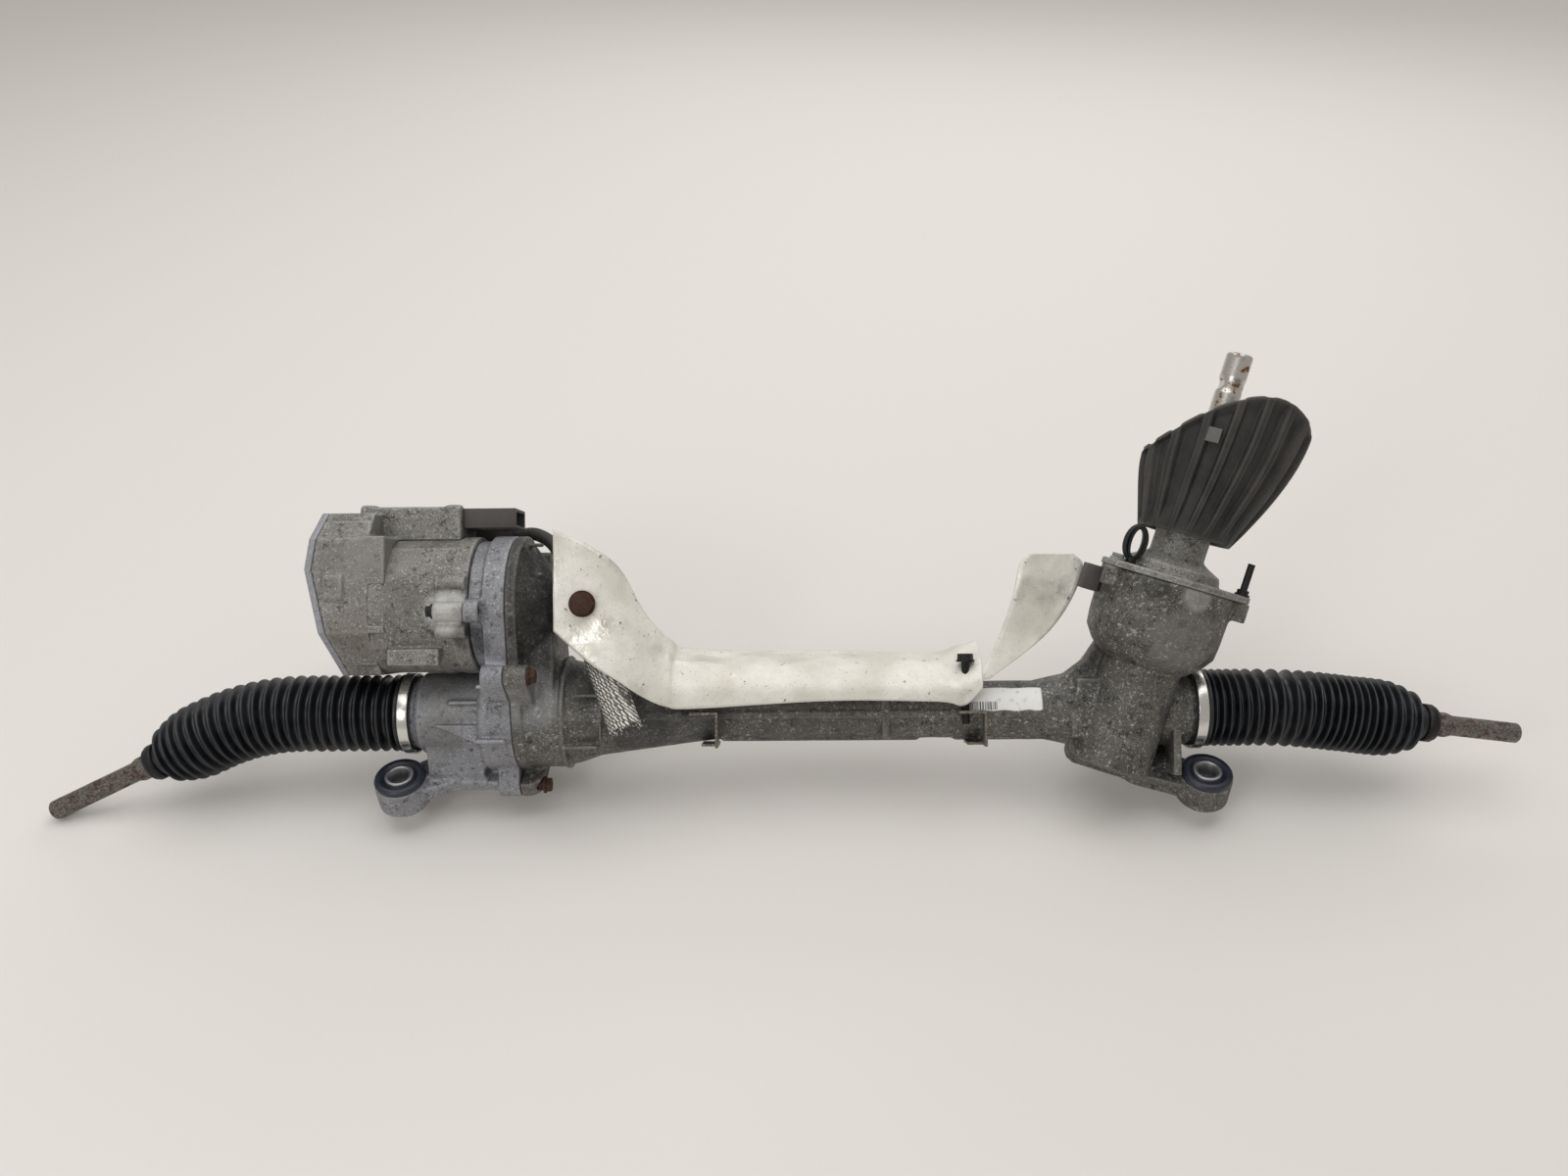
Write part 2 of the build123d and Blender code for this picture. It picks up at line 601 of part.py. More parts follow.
def right_arm():
    """Arm from the tower's foot down to the right mounting boss, with its upright rib."""
    x = MOUNT_SPACING / 2
    arm = hull_z([(x, 0, BOSS_R - 4), (x - 44, 17, 15)], 8, 21)
    arm += hull_z([(x - 42, 20, 16), (x - 84, 38, 14), (x - 40, 44, 14)], 9, 26)
    rib = make_face(Polyline((6, 18), (6, 30), (24, 60), (44, 60), (44, 18), close=True))
    arm += Pos(x - 27, 0, 0) * extrude(Plane.YZ * rib, 5)
    return arm + end_boss(1)


# ---------------------------------------------------------------- motor and controller
def motor_housing():
    """Deep cup with three ears, bolted to the end housing."""
    left, face = -312.0, -240.0
    can = rod_x(MOTOR_R, left, face)
    can += rod_x(MOTOR_R + 1.2, -252, face)
    for v, w in motor_bolts_at():
        can += Pos(0, v - MOTOR_V, w - MOTOR_W) * rod_x(7.2, -262, face)
    can -= rod_x(44.0, -306, face + 1) + rod_x(10.0, left - 1, -300)
    can = Pos(0, MOTOR_V, MOTOR_W) * can
    for v, w in motor_bolts_at():
        can -= Pos(0, v, w) * rod_x(3.4, -270, face + 1)
    return in_drive(can)


def controller_outline():
    """Side (x, v) corners of the controller box."""
    return [(-346, 150), (-353, 108), (-336, 30), (-312, 30), (-312, 150)]


def controller_section():
    """(v, w) section of the controller: flat front, rounded under the motor."""
    return [(0 + 30, -30), (30, 30), (62, 61), (130, 61), (150, 44), (150, -38)]


def ecu_housing():
    """Controller box on the motor's end, with its connector block over the motor."""
    side = extrude(make_face(Polyline(*controller_outline(), close=True)), 70, both=True)
    front = extrude(Plane.YZ * make_face(Polyline(*controller_section(), close=True)), 400, both=True)
    box = side & front
    box += block((-330, -254), (MOTOR_V + 40, 156), (-36, 26)) + block((-316, -300), (62, 132), (20, 61))
    for x in (-324.0, -260.0):
        box += Pos(x, 0, 20) * Rot(-90, 0, 0) * rod(6.0, MOTOR_V + 50, 157.5)
    for n in range(3):
        box -= block((-300, -276), (139 + 4.2 * n, 141 + 4.2 * n), (23, 27))
    box -= Pos(0, MOTOR_V, MOTOR_W) * rod_x(MOTOR_R, -312, -240)
    return in_drive(box - block((-341, -318), (60, 140), (-24, 46)))


def ecu_cover():
    """Folded end plate of the controller."""
    outer = [(x - 5, v) for x, v in controller_outline()[:3]]
    inner = controller_outline()[:3]
    face = make_face(Polyline(*(outer + inner[::-1]), close=True))
    front = extrude(Plane.YZ * make_face(Polyline(*controller_section(), close=True)), 400, both=True)
    return in_drive(extrude(face, 70, both=True) & front)


def power_connector():
    """Socket on the controller for the battery lead, open to the right."""
    shell = block((-254, -214), (140, 155), (-12, 20)) - block((-246, -213), (142.5, 152.5), (-9, 17))
    return in_drive(shell)


def signal_plug():
    """Plug of the sensor harness beside the power connector."""
    return in_drive(block((-254, -226), (130, 146), (-36, -18)))


def conduit_route():
    """Corners of the harness conduit, from the signal plug round the chamber's shoulder."""
    return [
        (-225.3, 138, -27), (-208, 138, -25), (-190, 128, -4), (-179, 112, 22), (-177, 92, 36.5),
        (-172, 70, 34), (-156.1, 58.8, 27.3), (-151.35, 46.9, 29.8),
    ]


def harness_conduit():
    """Ribbed conduit from the signal plug to the heat sleeve."""
    points = [Vector(*p) for p in conduit_route()]
    radii = []
    for before, here, after in zip(points, points[1:], points[2:]):
        run = min((here - before).length, (after - here).length)
        turn = radians((here - before).get_angle(after - here))
        radii.append(0.45 * run / tan(turn / 2))
    path = FilletPolyline(*points, radius=radii)
    start = Plane(origin=path @ 0, z_dir=path % 0)
    return in_drive(sweep(start * Circle(CONDUIT_R), path=path))


def heat_sleeve():
    """Flattened foil sleeve at the harness's cut end, open at the bottom."""
    high, low = Vector(-151, 46, 30), Vector(-129, -9, 41.5)
    along = Plane(origin=high, x_dir=(1, 0.4, 0), z_dir=low - high)
    length = (low - high).length
    tube_solid = extrude(along * Ellipse(13, 7), length) - extrude(along.offset(6) * Ellipse(11.8, 5.8), length)
    return in_drive(tube_solid)


# ---------------------------------------------------------------- sensor and cover
def sensor_cover():
    """Upper sensor housing: flange, low dome and the shaft's neck."""
    top = BOWL_TOP
    cover = hull_z([(x, y, 6.5) for x, y in cover_bolts_at()] + [(0, 0, SENSOR_R + 1)], top, top + FLANGE_THICK)
    cover += turned_z([
        (0, top + 4), (36, top + 4), (34, top + 12), (24, top + 17), (SENSOR_NECK_R, top + 20),
        (SENSOR_NECK_R, SENSOR_NECK_TOP), (0, SENSOR_NECK_TOP),
    ])
    cover -= rod(SENSOR_NECK_R - 4 + SEAT, SENSOR_NECK_TOP - 9, SENSOR_NECK_TOP + 1)
    cover -= rod(INPUT_R + 1.5, top - 1, SENSOR_NECK_TOP) + rod(30, top - 1, top + 9)
    for x, y in cover_bolts_at():
        cover -= Pos(x, y, 0) * rod(3.3, top - 1, top + 6)
    return in_pinion(cover)


def torque_sensor():
    """Sensor ring that reads the twist between the input shaft and the pinion."""
    ring = tube(38, 15, BOWL_LOW + 14, BOWL_LOW + 30) + tube(26, 15, BOWL_LOW + 30, BOWL_TOP - 6)
    return in_pinion(ring)


def sensor_connector():
    """Plug of the sensor lead on the bowl's left side."""
    plug = Rot(0, 0, 180) * block((SENSOR_R + 0.5, SENSOR_R + 13), (-7, 7), (80, 99))
    return in_pinion(plug)


def yoke():
    """Slipper that presses the rack against the pinion."""
    slipper = rod(YOKE_R - FIT, -32, -2) - Rot(0, 90, 0) * rod(RACK_R + FIT, -30, 30)
    slipper -= rod(9, -33, -25.5)
    return in_raked(Pos(PINION_X, 0, 0) * slipper)


def yoke_plug():
    """Threaded adjuster plug behind the yoke."""
    plug = rod(YOKE_R - SEAT, -YOKE_REACH, -36) - extrude(RegularPolygon(7, 6), 6).moved(Pos(0, 0, -YOKE_REACH - 1))
    return in_raked(Pos(PINION_X, 0, 0) * plug)


def yoke_spring():
    """Stack of coned spring washers between plug and yoke."""
    washer = turned_z([(4.5, 0), (8.4, 1.3), (8.4, 2.6), (4.5, 1.3)])
    stack = washer + mirror(washer, Plane.XY.offset(2.6))
    return in_raked(Pos(PINION_X, 0, -35.9) * (stack + Pos(0, 0, 5.2) * stack))


def rack_bush():
    """Plastic bush that guides the rack at the left end."""
    return in_drive(tube_x(TUBE_BORE_R - SEAT, RACK_R + FIT, -291, -275))


# ---------------------------------------------------------------- shield and bell cover
def shield_sections():
    """Sections of the heat shield along the rack: x, then (v, w) from its lower to its upper edge."""
    return [
        (-181, [(62, 45), (78, 45.5), (96, 46), (116, 46), (137, 46)]),
        (-157, [(40, 44), (58, 45), (80, 45), (104, 44), (126, 42)]),
        (-134, [(25, 44), (40, 45), (62, 44), (88, 40), (108, 35)]),
        (-116, [(13, 41), (26, 42), (42, 39), (58, 31), (74, 22)]),
        (-100, [(6, 37), (20, 38), (34, 31), (46, 18), (55, 4)]),
        (-80, [(4, 34), (20, 34), (34, 23), (42, 2), (46, -18)]),
        (20, [(9, 33), (20, 33), (33, 21), (41, 0), (44, -20)]),
        (100, [(8, 33), (20, 33), (33, 21), (41, 0), (42, -20)]),
        (120, [(5, 33), (20, 34), (34, 24), (43, 6), (47, -14)]),
        (134, [(18, 34), (28, 33), (38, 27), (46, 14), (52, -2)]),
    ]


def shield_section(x, corners):
    """Closed outline of the sheet at one place along the rack."""
    step = SHIELD_THICK / sqrt(2)
    inner = [(v - step, w - step) for v, w in reversed(corners)]
    return Plane.YZ.offset(x) * make_face(Polyline(*(corners + inner), close=True))


def heat_shield():
    """Pressed aluminium shield over the tube, with the bent flap at its right end."""
    sheet = loft([shield_section(x, corners) for x, corners in shield_sections()], ruled=True)
    flap = []
    for v, (x0, w0), (x1, w1) in (
        (24, (131, 33), (138, 31)), (55, (146, 27), (170, 24)), (85, (157, 31), (194, 20)),
        (108, (166, 28), (206, 14)), (117, (172, 26), (204, 13)),
    ):
        face = make_face(Polyline((x0, w0), (x1, w1), (x1, w1 - SHIELD_THICK), (x0, w0 - SHIELD_THICK), close=True))
        flap.append(Plane(origin=(0, v, 0), x_dir=(1, 0, 0), z_dir=(0, -1, 0)) * face)
    sheet += loft(flap, ruled=True)
    x, v = SHIELD_BOLT
    sheet -= Pos(x, v, 0) * rod(5.2, 30, 60)
    x, w = SHIELD_SCREW
    sheet -= Pos(x, 0, w) * Rot(-90, 0, 0) * (rod(3.4, 20, 60) + rod(7.4, 36.6, 60))
    return in_drive(sheet)


def shield_bolt():
    """Hexagon bolt that holds the shield's lobe to the casting."""
    x, v = SHIELD_BOLT
    return in_drive(Pos(x, v, 46.4) * Rot(180, 0, 0) * bolt(5.0 - SEAT, 9.0, 10, 7))


def shield_screw():
    """Long flanged screw through the shield into its right bracket."""
    x, w = SHIELD_SCREW
    screw = Rot(90, 0, 0) * Rot(180, 0, 0) * bolt(3.0, 6.0, 46, 6)
    return in_drive(Pos(x, 37.0, w) * Rot(0, 0, 180) * screw)


def bracket(start):
    """Sheet bracket in front of the tube: tab, leg and the foot under the lip."""
    tab = block((start, start + 21), (-1, 1), (TUBE_R + 4.5, 34)) - Pos(SHIELD_SCREW[0], 0, SHIELD_SCREW[1]) * Rot(90, 0, 0) * rod(3.2, -3, 3)
    leg = block((start + 19, start + 21), (-TUBE_R - 3.8, 1), (0, 34)) - rod_x(TUBE_R + 3.8, start, start + 30)
    foot = block((start + 8, start + 21), (-TUBE_R - 3.8, -TUBE_R - 1.8), (-2, 20))
    return in_drive(tab + leg + foot)


def bell_cover():
    """Flared bulkhead cover round the input shaft, taller on its outer side."""
    def horn(inset, extra):
        rings = []
        for height, offset, across, deep in ((BELL_LOW - extra, 0, BELL_R, BELL_R), (190, 5, 52, 50), (256, 11, 58, 54)):
            ring = Plane.XY.offset(height) * Pos(offset, 0) * Ellipse(across - inset, deep - inset)
            rings.append(ring)
        return loft(rings)

    cover = horn(0, 0) - horn(BELL_WALL, 0.01)
    cutter = Pos(13, 0, 222) * Rot(-14, -20, 0) * block((-150, 150), (-150, 150), (0, 120))
    collar = tube(BELL_R - BELL_WALL + 1, SENSOR_NECK_R + SEAT, BELL_LOW, BELL_LOW + 3)
    return in_pinion(cover - cutter + collar)


def cable_clip():
    """Loop that holds the lead beside the sensor cover's neck."""
    loop = Rot(90, 0, 0) * (extrude(Ellipse(5.5, 12), 4) - extrude(Ellipse(3.7, 10), 5).moved(Pos(0, 0, -0.5)))
    base = rod(4, BOWL_TOP + FLANGE_THICK, BOWL_TOP + FLANGE_THICK + 4)
    return in_pinion(Pos(-37, -20, 0) * base + Pos(-37, -18, BOWL_TOP + FLANGE_THICK + 15.5) * loop)


def flange_stud():
    """Stud bolt in the flange's right ear: hexagon below, threaded stud above."""
    x, y = cover_bolts_at()[0]
    stud = Rot(180, 0, 0) * bolt(2.8, 4.6, 14, 4.5) + rod(2.6, 4, 24)
    return in_pinion(Pos(x, y, BOWL_TOP + FLANGE_THICK) * stud)


# ---------------------------------------------------------------- mounts, boots, clamps
def mount_bush(side):
    """Rubber of a mounting bush, with its lip on the boss."""
    rubber = turned_z([
        (SLEEVE_R + SEAT, BOSS_LOW), (BUSH_HOLE_R - SEAT, BOSS_LOW), (BUSH_HOLE_R - SEAT, BOSS_TOP),
        (BOSS_R - 0.6, BOSS_TOP), (BOSS_R - 0.3, BOSS_TOP + 2.5), (BOSS_R - 2.5, BOSS_TOP + 4.6),
        (SLEEVE_R + SEAT, BOSS_TOP + 5),
    ])
    return Pos(side * MOUNT_SPACING / 2, 0, 0) * rubber


def mount_sleeve(side):
    return Pos(side * MOUNT_SPACING / 2, 0, 0) * tube(SLEEVE_R, BOLT_HOLE_R, 0, SLEEVE_LENGTH)


def boot_path(side):
    """Start of the bend along the rack, bend radius and where the tapered end begins."""
    start = side * (HOUSING_HALF + (77 if side < 0 else 38))
    angle = radians(droop(side))
    run = abs(ball_x(side)) - abs(start)
    bend = run * tan(angle) / (sin(angle) * tan(angle) - (1 - cos(angle)))
    return abs(start), bend, abs(start) + bend * sin(angle)


def boot_solid(side, inset):
    """Plain outer form of a boot, inset by a wall."""
    start, bend, _ = boot_path(side)
    angle = droop(side)
    radius = BOOT_R - inset
    grip = LEFT_GRIP if side < 0 else RIGHT_GRIP
    body = rod_x(radius, HOUSING_HALF - 11, start)
    arc = Rot(0, 90, 0) * Circle(radius)
    elbow = revolve(Pos(start, 0, 0) * arc, Axis((start, -bend, 0), (0, 0, -1)), angle)
    run = radians(angle)
    end = (start + bend * sin(run), -bend * (1 - cos(run)))
    ball = abs(ball_x(side))
    done = sqrt((end[0] - ball) ** 2 + end[1] ** 2)
    taper = turned_x([
        (0, 0), (0, radius), (max(grip - 34 - done, 1), radius), (grip - 12 - done, 21 - inset),
        (grip - 6 - done, BOOT_NECK_R - inset * 0.85),
        (grip + 6 - done, BOOT_NECK_R - inset * 0.85), (grip + 6 - done, 0),
    ])
    return body + elbow + Pos(end[0], end[1], 0) * Rot(0, 0, -angle) * taper


def boot(side):
    """Rubber bellows, as its plain tapered envelope with a wall."""
    shell = boot_solid(side, 0) - boot_solid(side, BOOT_WALL)
    shell -= rod_x(BOOT_SEAT_R + SEAT, HOUSING_HALF - 12, HOUSING_HALF)
    grip = LEFT_GRIP if side < 0 else RIGHT_GRIP
    angle = radians(droop(side))
    ball = abs(ball_x(side))
    hole = Pos(ball, 0, 0) * Rot(0, 0, -droop(side)) * rod_x(ROD_R + GAP, grip - 10, grip + 12)
    shell -= hole
    if side < 0:
        shell = mirror(shell, Plane.YZ)
    return in_raked(shell)


def boot_clamp(side):
    """Steel band round the boot's wide end, with its crimped ear."""
    low = HOUSING_HALF - 9.5
    band = tube_x(BOOT_R + CLAMP_THICK, BOOT_R + SEAT, low, low + CLAMP_WIDTH)
    ear = block((low, low + CLAMP_WIDTH), (-3, 3), (-BOOT_R - 6.5, -BOOT_R - 1))
    band += Rot(35, 0, 0) * ear
    if side < 0:
        band = mirror(band, Plane.YZ)
    return in_raked(band)


def boot_clip(side):
    """Spring clip round the boot's neck."""
    grip = LEFT_GRIP if side < 0 else RIGHT_GRIP
    ring = tube(BOOT_NECK_R + 1.5, BOOT_NECK_R + GAP, grip - 3, grip + 3)
    return rod_frame(side).location * ring


# ---------------------------------------------------------------- fasteners
def bolt(radius, head, length, head_height):
    """Flanged hexagon bolt, head below z=0 and shank above."""
    return extrude(RegularPolygon(head, 6), -head_height) + rod(head + 0.8, -1.6, 0) + rod(radius, 0, length)


def along_x(shape, x, v, w, turn=90):
    return in_drive(Pos(x, v, w) * Rot(0, turn, 0) * shape)


def housing_bolts():
    """Bolts that join the two housings."""
    screw = bolt(3.0 - SEAT, 5.6, 28, 5.5)
    return [along_x(screw, JOINT_X + LUG_DEPTH, v, w, -90) for v, w in chamber_bolts()]


def motor_bolts():
    return [along_x(bolt(3.4 - SEAT, 4.6, 32, 5), -262, v, w) for v, w in motor_bolts_at()]


def cover_screws():
    top = BOWL_TOP + FLANGE_THICK
    return [in_pinion(Pos(x, y, top) * Rot(180, 0, 0) * bolt(2.8, 4.6, 14, 4.5)) for x, y in cover_bolts_at()[1:]]


# ---------------------------------------------------------------- output
NODES = {
    "rack_housing": rack_housing,
    "end_housing": end_housing,
    "rack_bar": rack_bar,
    "pinion": pinion,
    "pinion_nut": pinion_nut,
    "torsion_bar": torsion_bar,
    "input_shaft": input_shaft,
    "pinion_top_bearing": pinion_top_bearing,
    "pinion_low_bearing": pinion_low_bearing,
    "bottom_cap": bottom_cap,
    "shaft_seal": shaft_seal,
    "ball_nut": ball_nut,
    "nut_bearing": nut_bearing,
    "bearing_ring": bearing_ring,
    "nut_pulley": nut_pulley,
    "motor_pulley": motor_pulley,
    "drive_belt": drive_belt,
    "motor_shaft": motor_shaft,
    "stator": stator,
    "motor_housing": motor_housing,
    "ecu_housing": ecu_housing,
    "ecu_cover": ecu_cover,
    "power_connector": power_connector,
    "sensor_cover": sensor_cover,
    "torque_sensor": torque_sensor,
    "sensor_connector": sensor_connector,
    "signal_plug": signal_plug,
    "harness_conduit": harness_conduit,
    "heat_sleeve": heat_sleeve,
    "heat_shield": heat_shield,
    "shield_bolt": shield_bolt,
    "shield_screw": shield_screw,
    "bracket_left": lambda: bracket(-83.0),
    "bracket_right": lambda: bracket(116.0),
    "bell_cover": bell_cover,
    "cable_clip": cable_clip,
    "flange_stud": flange_stud,
    "yoke": yoke,
    "yoke_plug": yoke_plug,
    "yoke_spring": yoke_spring,
    "rack_bush": rack_bush,
    "housing_bolts": housing_bolts,
    "motor_bolts": motor_bolts,
    "cover_screws": cover_screws,
}
for side, word in ((-1, "left"), (1, "right")):
    NODES["ball_housing_" + word] = lambda side=side: ball_housing(side)
    NODES["ball_seat_" + word] = lambda side=side: ball_seat(side)
    NODES["tie_rod_" + word] = lambda side=side: tie_rod(side)
    NODES["mount_bush_" + word] = lambda side=side: mount_bush(side)
    NODES["mount_sleeve_" + word] = lambda side=side: mount_sleeve(side)
    NODES["boot_" + word] = lambda side=side: boot(side)
    NODES["boot_clamp_" + word] = lambda side=side: boot_clamp(side)
    NODES["boot_clip_" + word] = lambda side=side: boot_clip(side)

os.makedirs("parts", exist_ok=True)
for name, make in NODES.items():
    made = make()
    solids = made if isinstance(made, list) else made.solids()
    export_step(Compound(children=[s for m in solids for s in m.solids()], label=name), f"parts/{name}.step")
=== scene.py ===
"""Electric power steering rack: detailed pieces, materials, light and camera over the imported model."""
import math
import random

import bmesh
import bpy
from bpy.props import FloatProperty, FloatVectorProperty, IntProperty, PointerProperty
from mathutils import Matrix, Vector, noise


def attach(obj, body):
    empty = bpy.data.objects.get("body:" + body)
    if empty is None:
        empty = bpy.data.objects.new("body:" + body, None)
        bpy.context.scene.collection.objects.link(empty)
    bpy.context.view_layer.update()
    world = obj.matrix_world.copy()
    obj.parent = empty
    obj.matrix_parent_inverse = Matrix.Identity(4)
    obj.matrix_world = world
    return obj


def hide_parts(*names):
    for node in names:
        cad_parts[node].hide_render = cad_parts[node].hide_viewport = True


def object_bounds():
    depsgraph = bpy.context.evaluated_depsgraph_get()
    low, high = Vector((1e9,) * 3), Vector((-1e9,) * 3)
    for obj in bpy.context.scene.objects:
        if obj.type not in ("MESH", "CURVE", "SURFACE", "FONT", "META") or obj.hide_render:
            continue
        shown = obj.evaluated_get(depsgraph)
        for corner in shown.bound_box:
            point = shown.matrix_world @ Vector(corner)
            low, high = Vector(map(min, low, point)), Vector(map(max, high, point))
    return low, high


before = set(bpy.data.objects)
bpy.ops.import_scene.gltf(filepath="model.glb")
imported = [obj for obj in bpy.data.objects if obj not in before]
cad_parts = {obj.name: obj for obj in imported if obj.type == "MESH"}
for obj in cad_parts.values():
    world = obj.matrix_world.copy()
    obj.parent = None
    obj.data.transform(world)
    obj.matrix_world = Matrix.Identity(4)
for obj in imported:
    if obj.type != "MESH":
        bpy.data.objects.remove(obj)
CAD_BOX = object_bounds()

bl_info = {
    "name": "Steering Rack",
    "version": (1, 0, 0),
    "blender": (4, 5, 0),
    "location": "View3D > Sidebar > Steering Rack",
    "description": "Builds the looks of an electric power steering rack over its packed model",
    "category": "Object",
}

MM = 0.001
RACK_Y = 41.0              # rack axis, mm
RACK_Z = 54.0
DRIVE_LEAN = 38.5          # degrees that the belt drive leans back
PINION_LEAN = 32.0
PINION_RAKE = 16.8
PINION_X = 243.5
PINION_W = 16.06
HOUSING_HALF = 303.0       # middle to each end of the housing
MOUNT_HALF = 303.5
SIDES = ((-1, "left"), (1, "right"))

BALL_HALF = 393.5          # middle to each rod's ball with the rack centred
RACK_OFFSET = 25.0         # how far left of centre the rack stands
ROD_DROOP = {-1: 25.0, 1: 7.0}        # degrees that each tie rod hangs down
ROD_SHOULDER = {-1: 98.0, 1: 119.0}   # ball to the end of the rod's thick part
ROD_END = 178
CLIP_REACH = {-1: 86.0, 1: 107.0}     # ball to the middle of the spring clip
BEND_START = {-1: 380.0, 1: 341.0}    # middle to where each boot starts to bend

BOOT_START = HOUSING_HALF - 10.5      # middle to the boot's end on the housing
BOOT_R = 29.3              # crests and wide cuff
BOOT_TAPER_R = 20.5        # crests beside the neck
BOOT_NECK_R = 13.0
BOOT_CUFF, BOOT_NECK = 12.5, 13.0     # lengths of the plain ends
BOOT_WALL = 1.2
BOOT_STEPS = 14            # rows of points to a convolution
BOOT_ROUND = 72            # points round a boot
BAND_WIDTH = 7.5

BELL_LOW = 137.3           # height of the bell's narrow end up the shaft
BELL_TOP = 233             # height of its rim over the shaft's axis
BELL_NECK = 34
BELL_WIDE = 56             # rim's half width across the shaft
BELL_DEEP = 51
BELL_SHIFT = 9.5           # how far the rim stands off the shaft's axis
BELL_WALL = 2.4
FLUTE_DEPTH = 5.0
BELL_ROWS, BELL_ROUND = 60, 360

SHIELD_ROWS, SHIELD_ROUND = 120, 26   # points along the shield and over it
FLAP_ROWS, FLAP_ROUND = 40, 12
SLEEVE_ROWS, SLEEVE_ROUND = 56, 64
STRANDS = 34
CONDUIT_STEPS, CONDUIT_ROUND = 340, 24
CONDUIT_R, CONDUIT_RIB = 4.7, 0.5

LABEL_X, LABEL_LENGTH = 120, 60
LABEL_START, LABEL_SWEEP = -4, 52     # degrees round the tube
LABEL_R = 22.25
LABEL_COLUMNS, LABEL_ROWS = 48, 18

CAMERA_PLACE = (-2.0, -650.5, 693.7)
CAMERA_TURN = (-0.804, 37.073, -0.944)
CAMERA_LENS = 28.125
FLOOR_HALF = 9.0           # metres
FLOOR_GAP = 0.4


# ---------------------------------------------------------------- settings
class RackSizes(bpy.types.PropertyGroup):
    """Sizes of the detailed pieces."""

    cast_grain: FloatProperty(name="Casting voxel", description="Voxel of the cast surfaces, mm",
                              default=1.3, unit="NONE")
    boot_rings: IntProperty(name="Boot rings", description="Convolutions of each bellows", default=23)
    boot_depth: FloatProperty(name="Boot depth", description="Depth of a convolution, mm", default=5.6)
    flutes: IntProperty(name="Flutes", description="Flutes round the bell cover", default=17)
    sheet: FloatProperty(name="Shield sheet", description="Thickness of the heat shield, mm", default=1.3)
    lamp_power: FloatProperty(name="Lamp power", description="Power that the lamps share out",
                              default=11.0, unit="POWER")


class RackColours(bpy.types.PropertyGroup):
    """Colours of the stage."""

    floor: FloatVectorProperty(name="Floor", description="Colour of the floor", subtype="COLOR",
                               default=(0.80, 0.775, 0.745))


# ---------------------------------------------------------------- places
def leaned(lean, x, v, w):
    """Point in metres from mm along the rack, up the leaned plane and out of it towards the front."""
    angle = math.radians(lean)
    y = RACK_Y + v * math.sin(angle) - w * math.cos(angle)
    z = RACK_Z + v * math.cos(angle) + w * math.sin(angle)
    return Vector((x, y, z)) * MM


def drive(x, v, w):
    """Point in metres from mm in the belt drive's leaned frame."""
    return leaned(DRIVE_LEAN, x, v, w)


def pinion_axes():
    """Origin, across, towards the rack and up the shaft of the pinion, in mm."""
    lean = math.radians(PINION_LEAN)
    rake = math.radians(PINION_RAKE)
    along = Vector((1, 0, 0))
    up = Vector((0, math.sin(lean), math.cos(lean)))
    out = Vector((0, -math.cos(lean), math.sin(lean)))
    origin = Vector((PINION_X, RACK_Y, RACK_Z)) + out * PINION_W
    axis = along * math.sin(rake) + up * math.cos(rake)
    across = along * math.cos(rake) - up * math.sin(rake)
    return origin, across, axis.cross(across), axis


PINION = pinion_axes()


def pinion(x, y, z):
    """Point in metres from mm in the pinion's frame."""
    origin, across, inward, axis = PINION
    return (origin + across * x + inward * y + axis * z) * MM


# ---------------------------------------------------------------- meshes
def finish_mesh(name, mesh, material, body, smooth=True):
    """Object from a bmesh, with its material, riding on a body."""
    data = bpy.data.meshes.new(name)
    bmesh.ops.recalc_face_normals(mesh, faces=mesh.faces)
    mesh.to_mesh(data)
    mesh.free()
    piece = bpy.data.objects.new(name, data)
    bpy.context.scene.collection.objects.link(piece)
    data.materials.append(material)
    for face in data.polygons:
        face.use_smooth = smooth
    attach(piece, body)
    return piece


def skin(mesh, rings, close_round=True, caps=False):
    """Quads between successive rings of points."""
    rows = [[mesh.verts.new(point) for point in ring] for ring in rings]
    count = len(rows[0])
    last = count if close_round else count - 1
    for low, high in zip(rows, rows[1:]):
        for n in range(last):
            m = (n + 1) % count
            mesh.faces.new((low[n], low[m], high[m], high[n]))
    if caps:
        mesh.faces.new(rows[0][::-1])
        mesh.faces.new(rows[-1])
    return rows


def prism(mesh, place, outline, low, high):
    """Closed prism over (a, b) corners; place turns (a, b, depth) into a point."""
    skin(mesh, [[place(a, b, low) for a, b in outline], [place(a, b, high) for a, b in outline]], caps=True)


def ring_points(place, radius, height, count=48):
    """Points round a circle at one height."""
    turns = [2 * math.pi * n / count for n in range(count)]
    return [place(radius * math.cos(t), radius * math.sin(t), height) for t in turns]


def lathe(mesh, place, profile, count=64):
    """Closed turned body from (radius, height) corners, solid between its first and last ring."""
    skin(mesh, [ring_points(place, radius, height, count) for radius, height in profile], caps=True)


def lathe_ring(mesh, place, profile, count=64):
    """Closed turned ring: the profile's last corner joins its first."""
    skin(mesh, [ring_points(place, r, h, count) for r, h in profile + profile[:1]])
    bmesh.ops.remove_doubles(mesh, verts=mesh.verts, dist=1e-6)


def applied(piece):
    """Bakes a piece's modifiers into its mesh."""
    depsgraph = bpy.context.evaluated_depsgraph_get()
    baked = bpy.data.meshes.new_from_object(piece.evaluated_get(depsgraph))
    old = piece.data
    piece.modifiers.clear()
    piece.data = baked
    bpy.data.meshes.remove(old)


def shade_smooth(piece):
    """Smooth shading on every face."""
    for face in piece.data.polygons:
        face.use_smooth = True


def thickened(piece, name, thickness, offset):
    """Gives a sheet its thickness in mm, as a modifier that is still to be baked."""
    solid = piece.modifiers.new(name, "SOLIDIFY")
    solid.thickness = thickness * MM
    solid.offset = offset


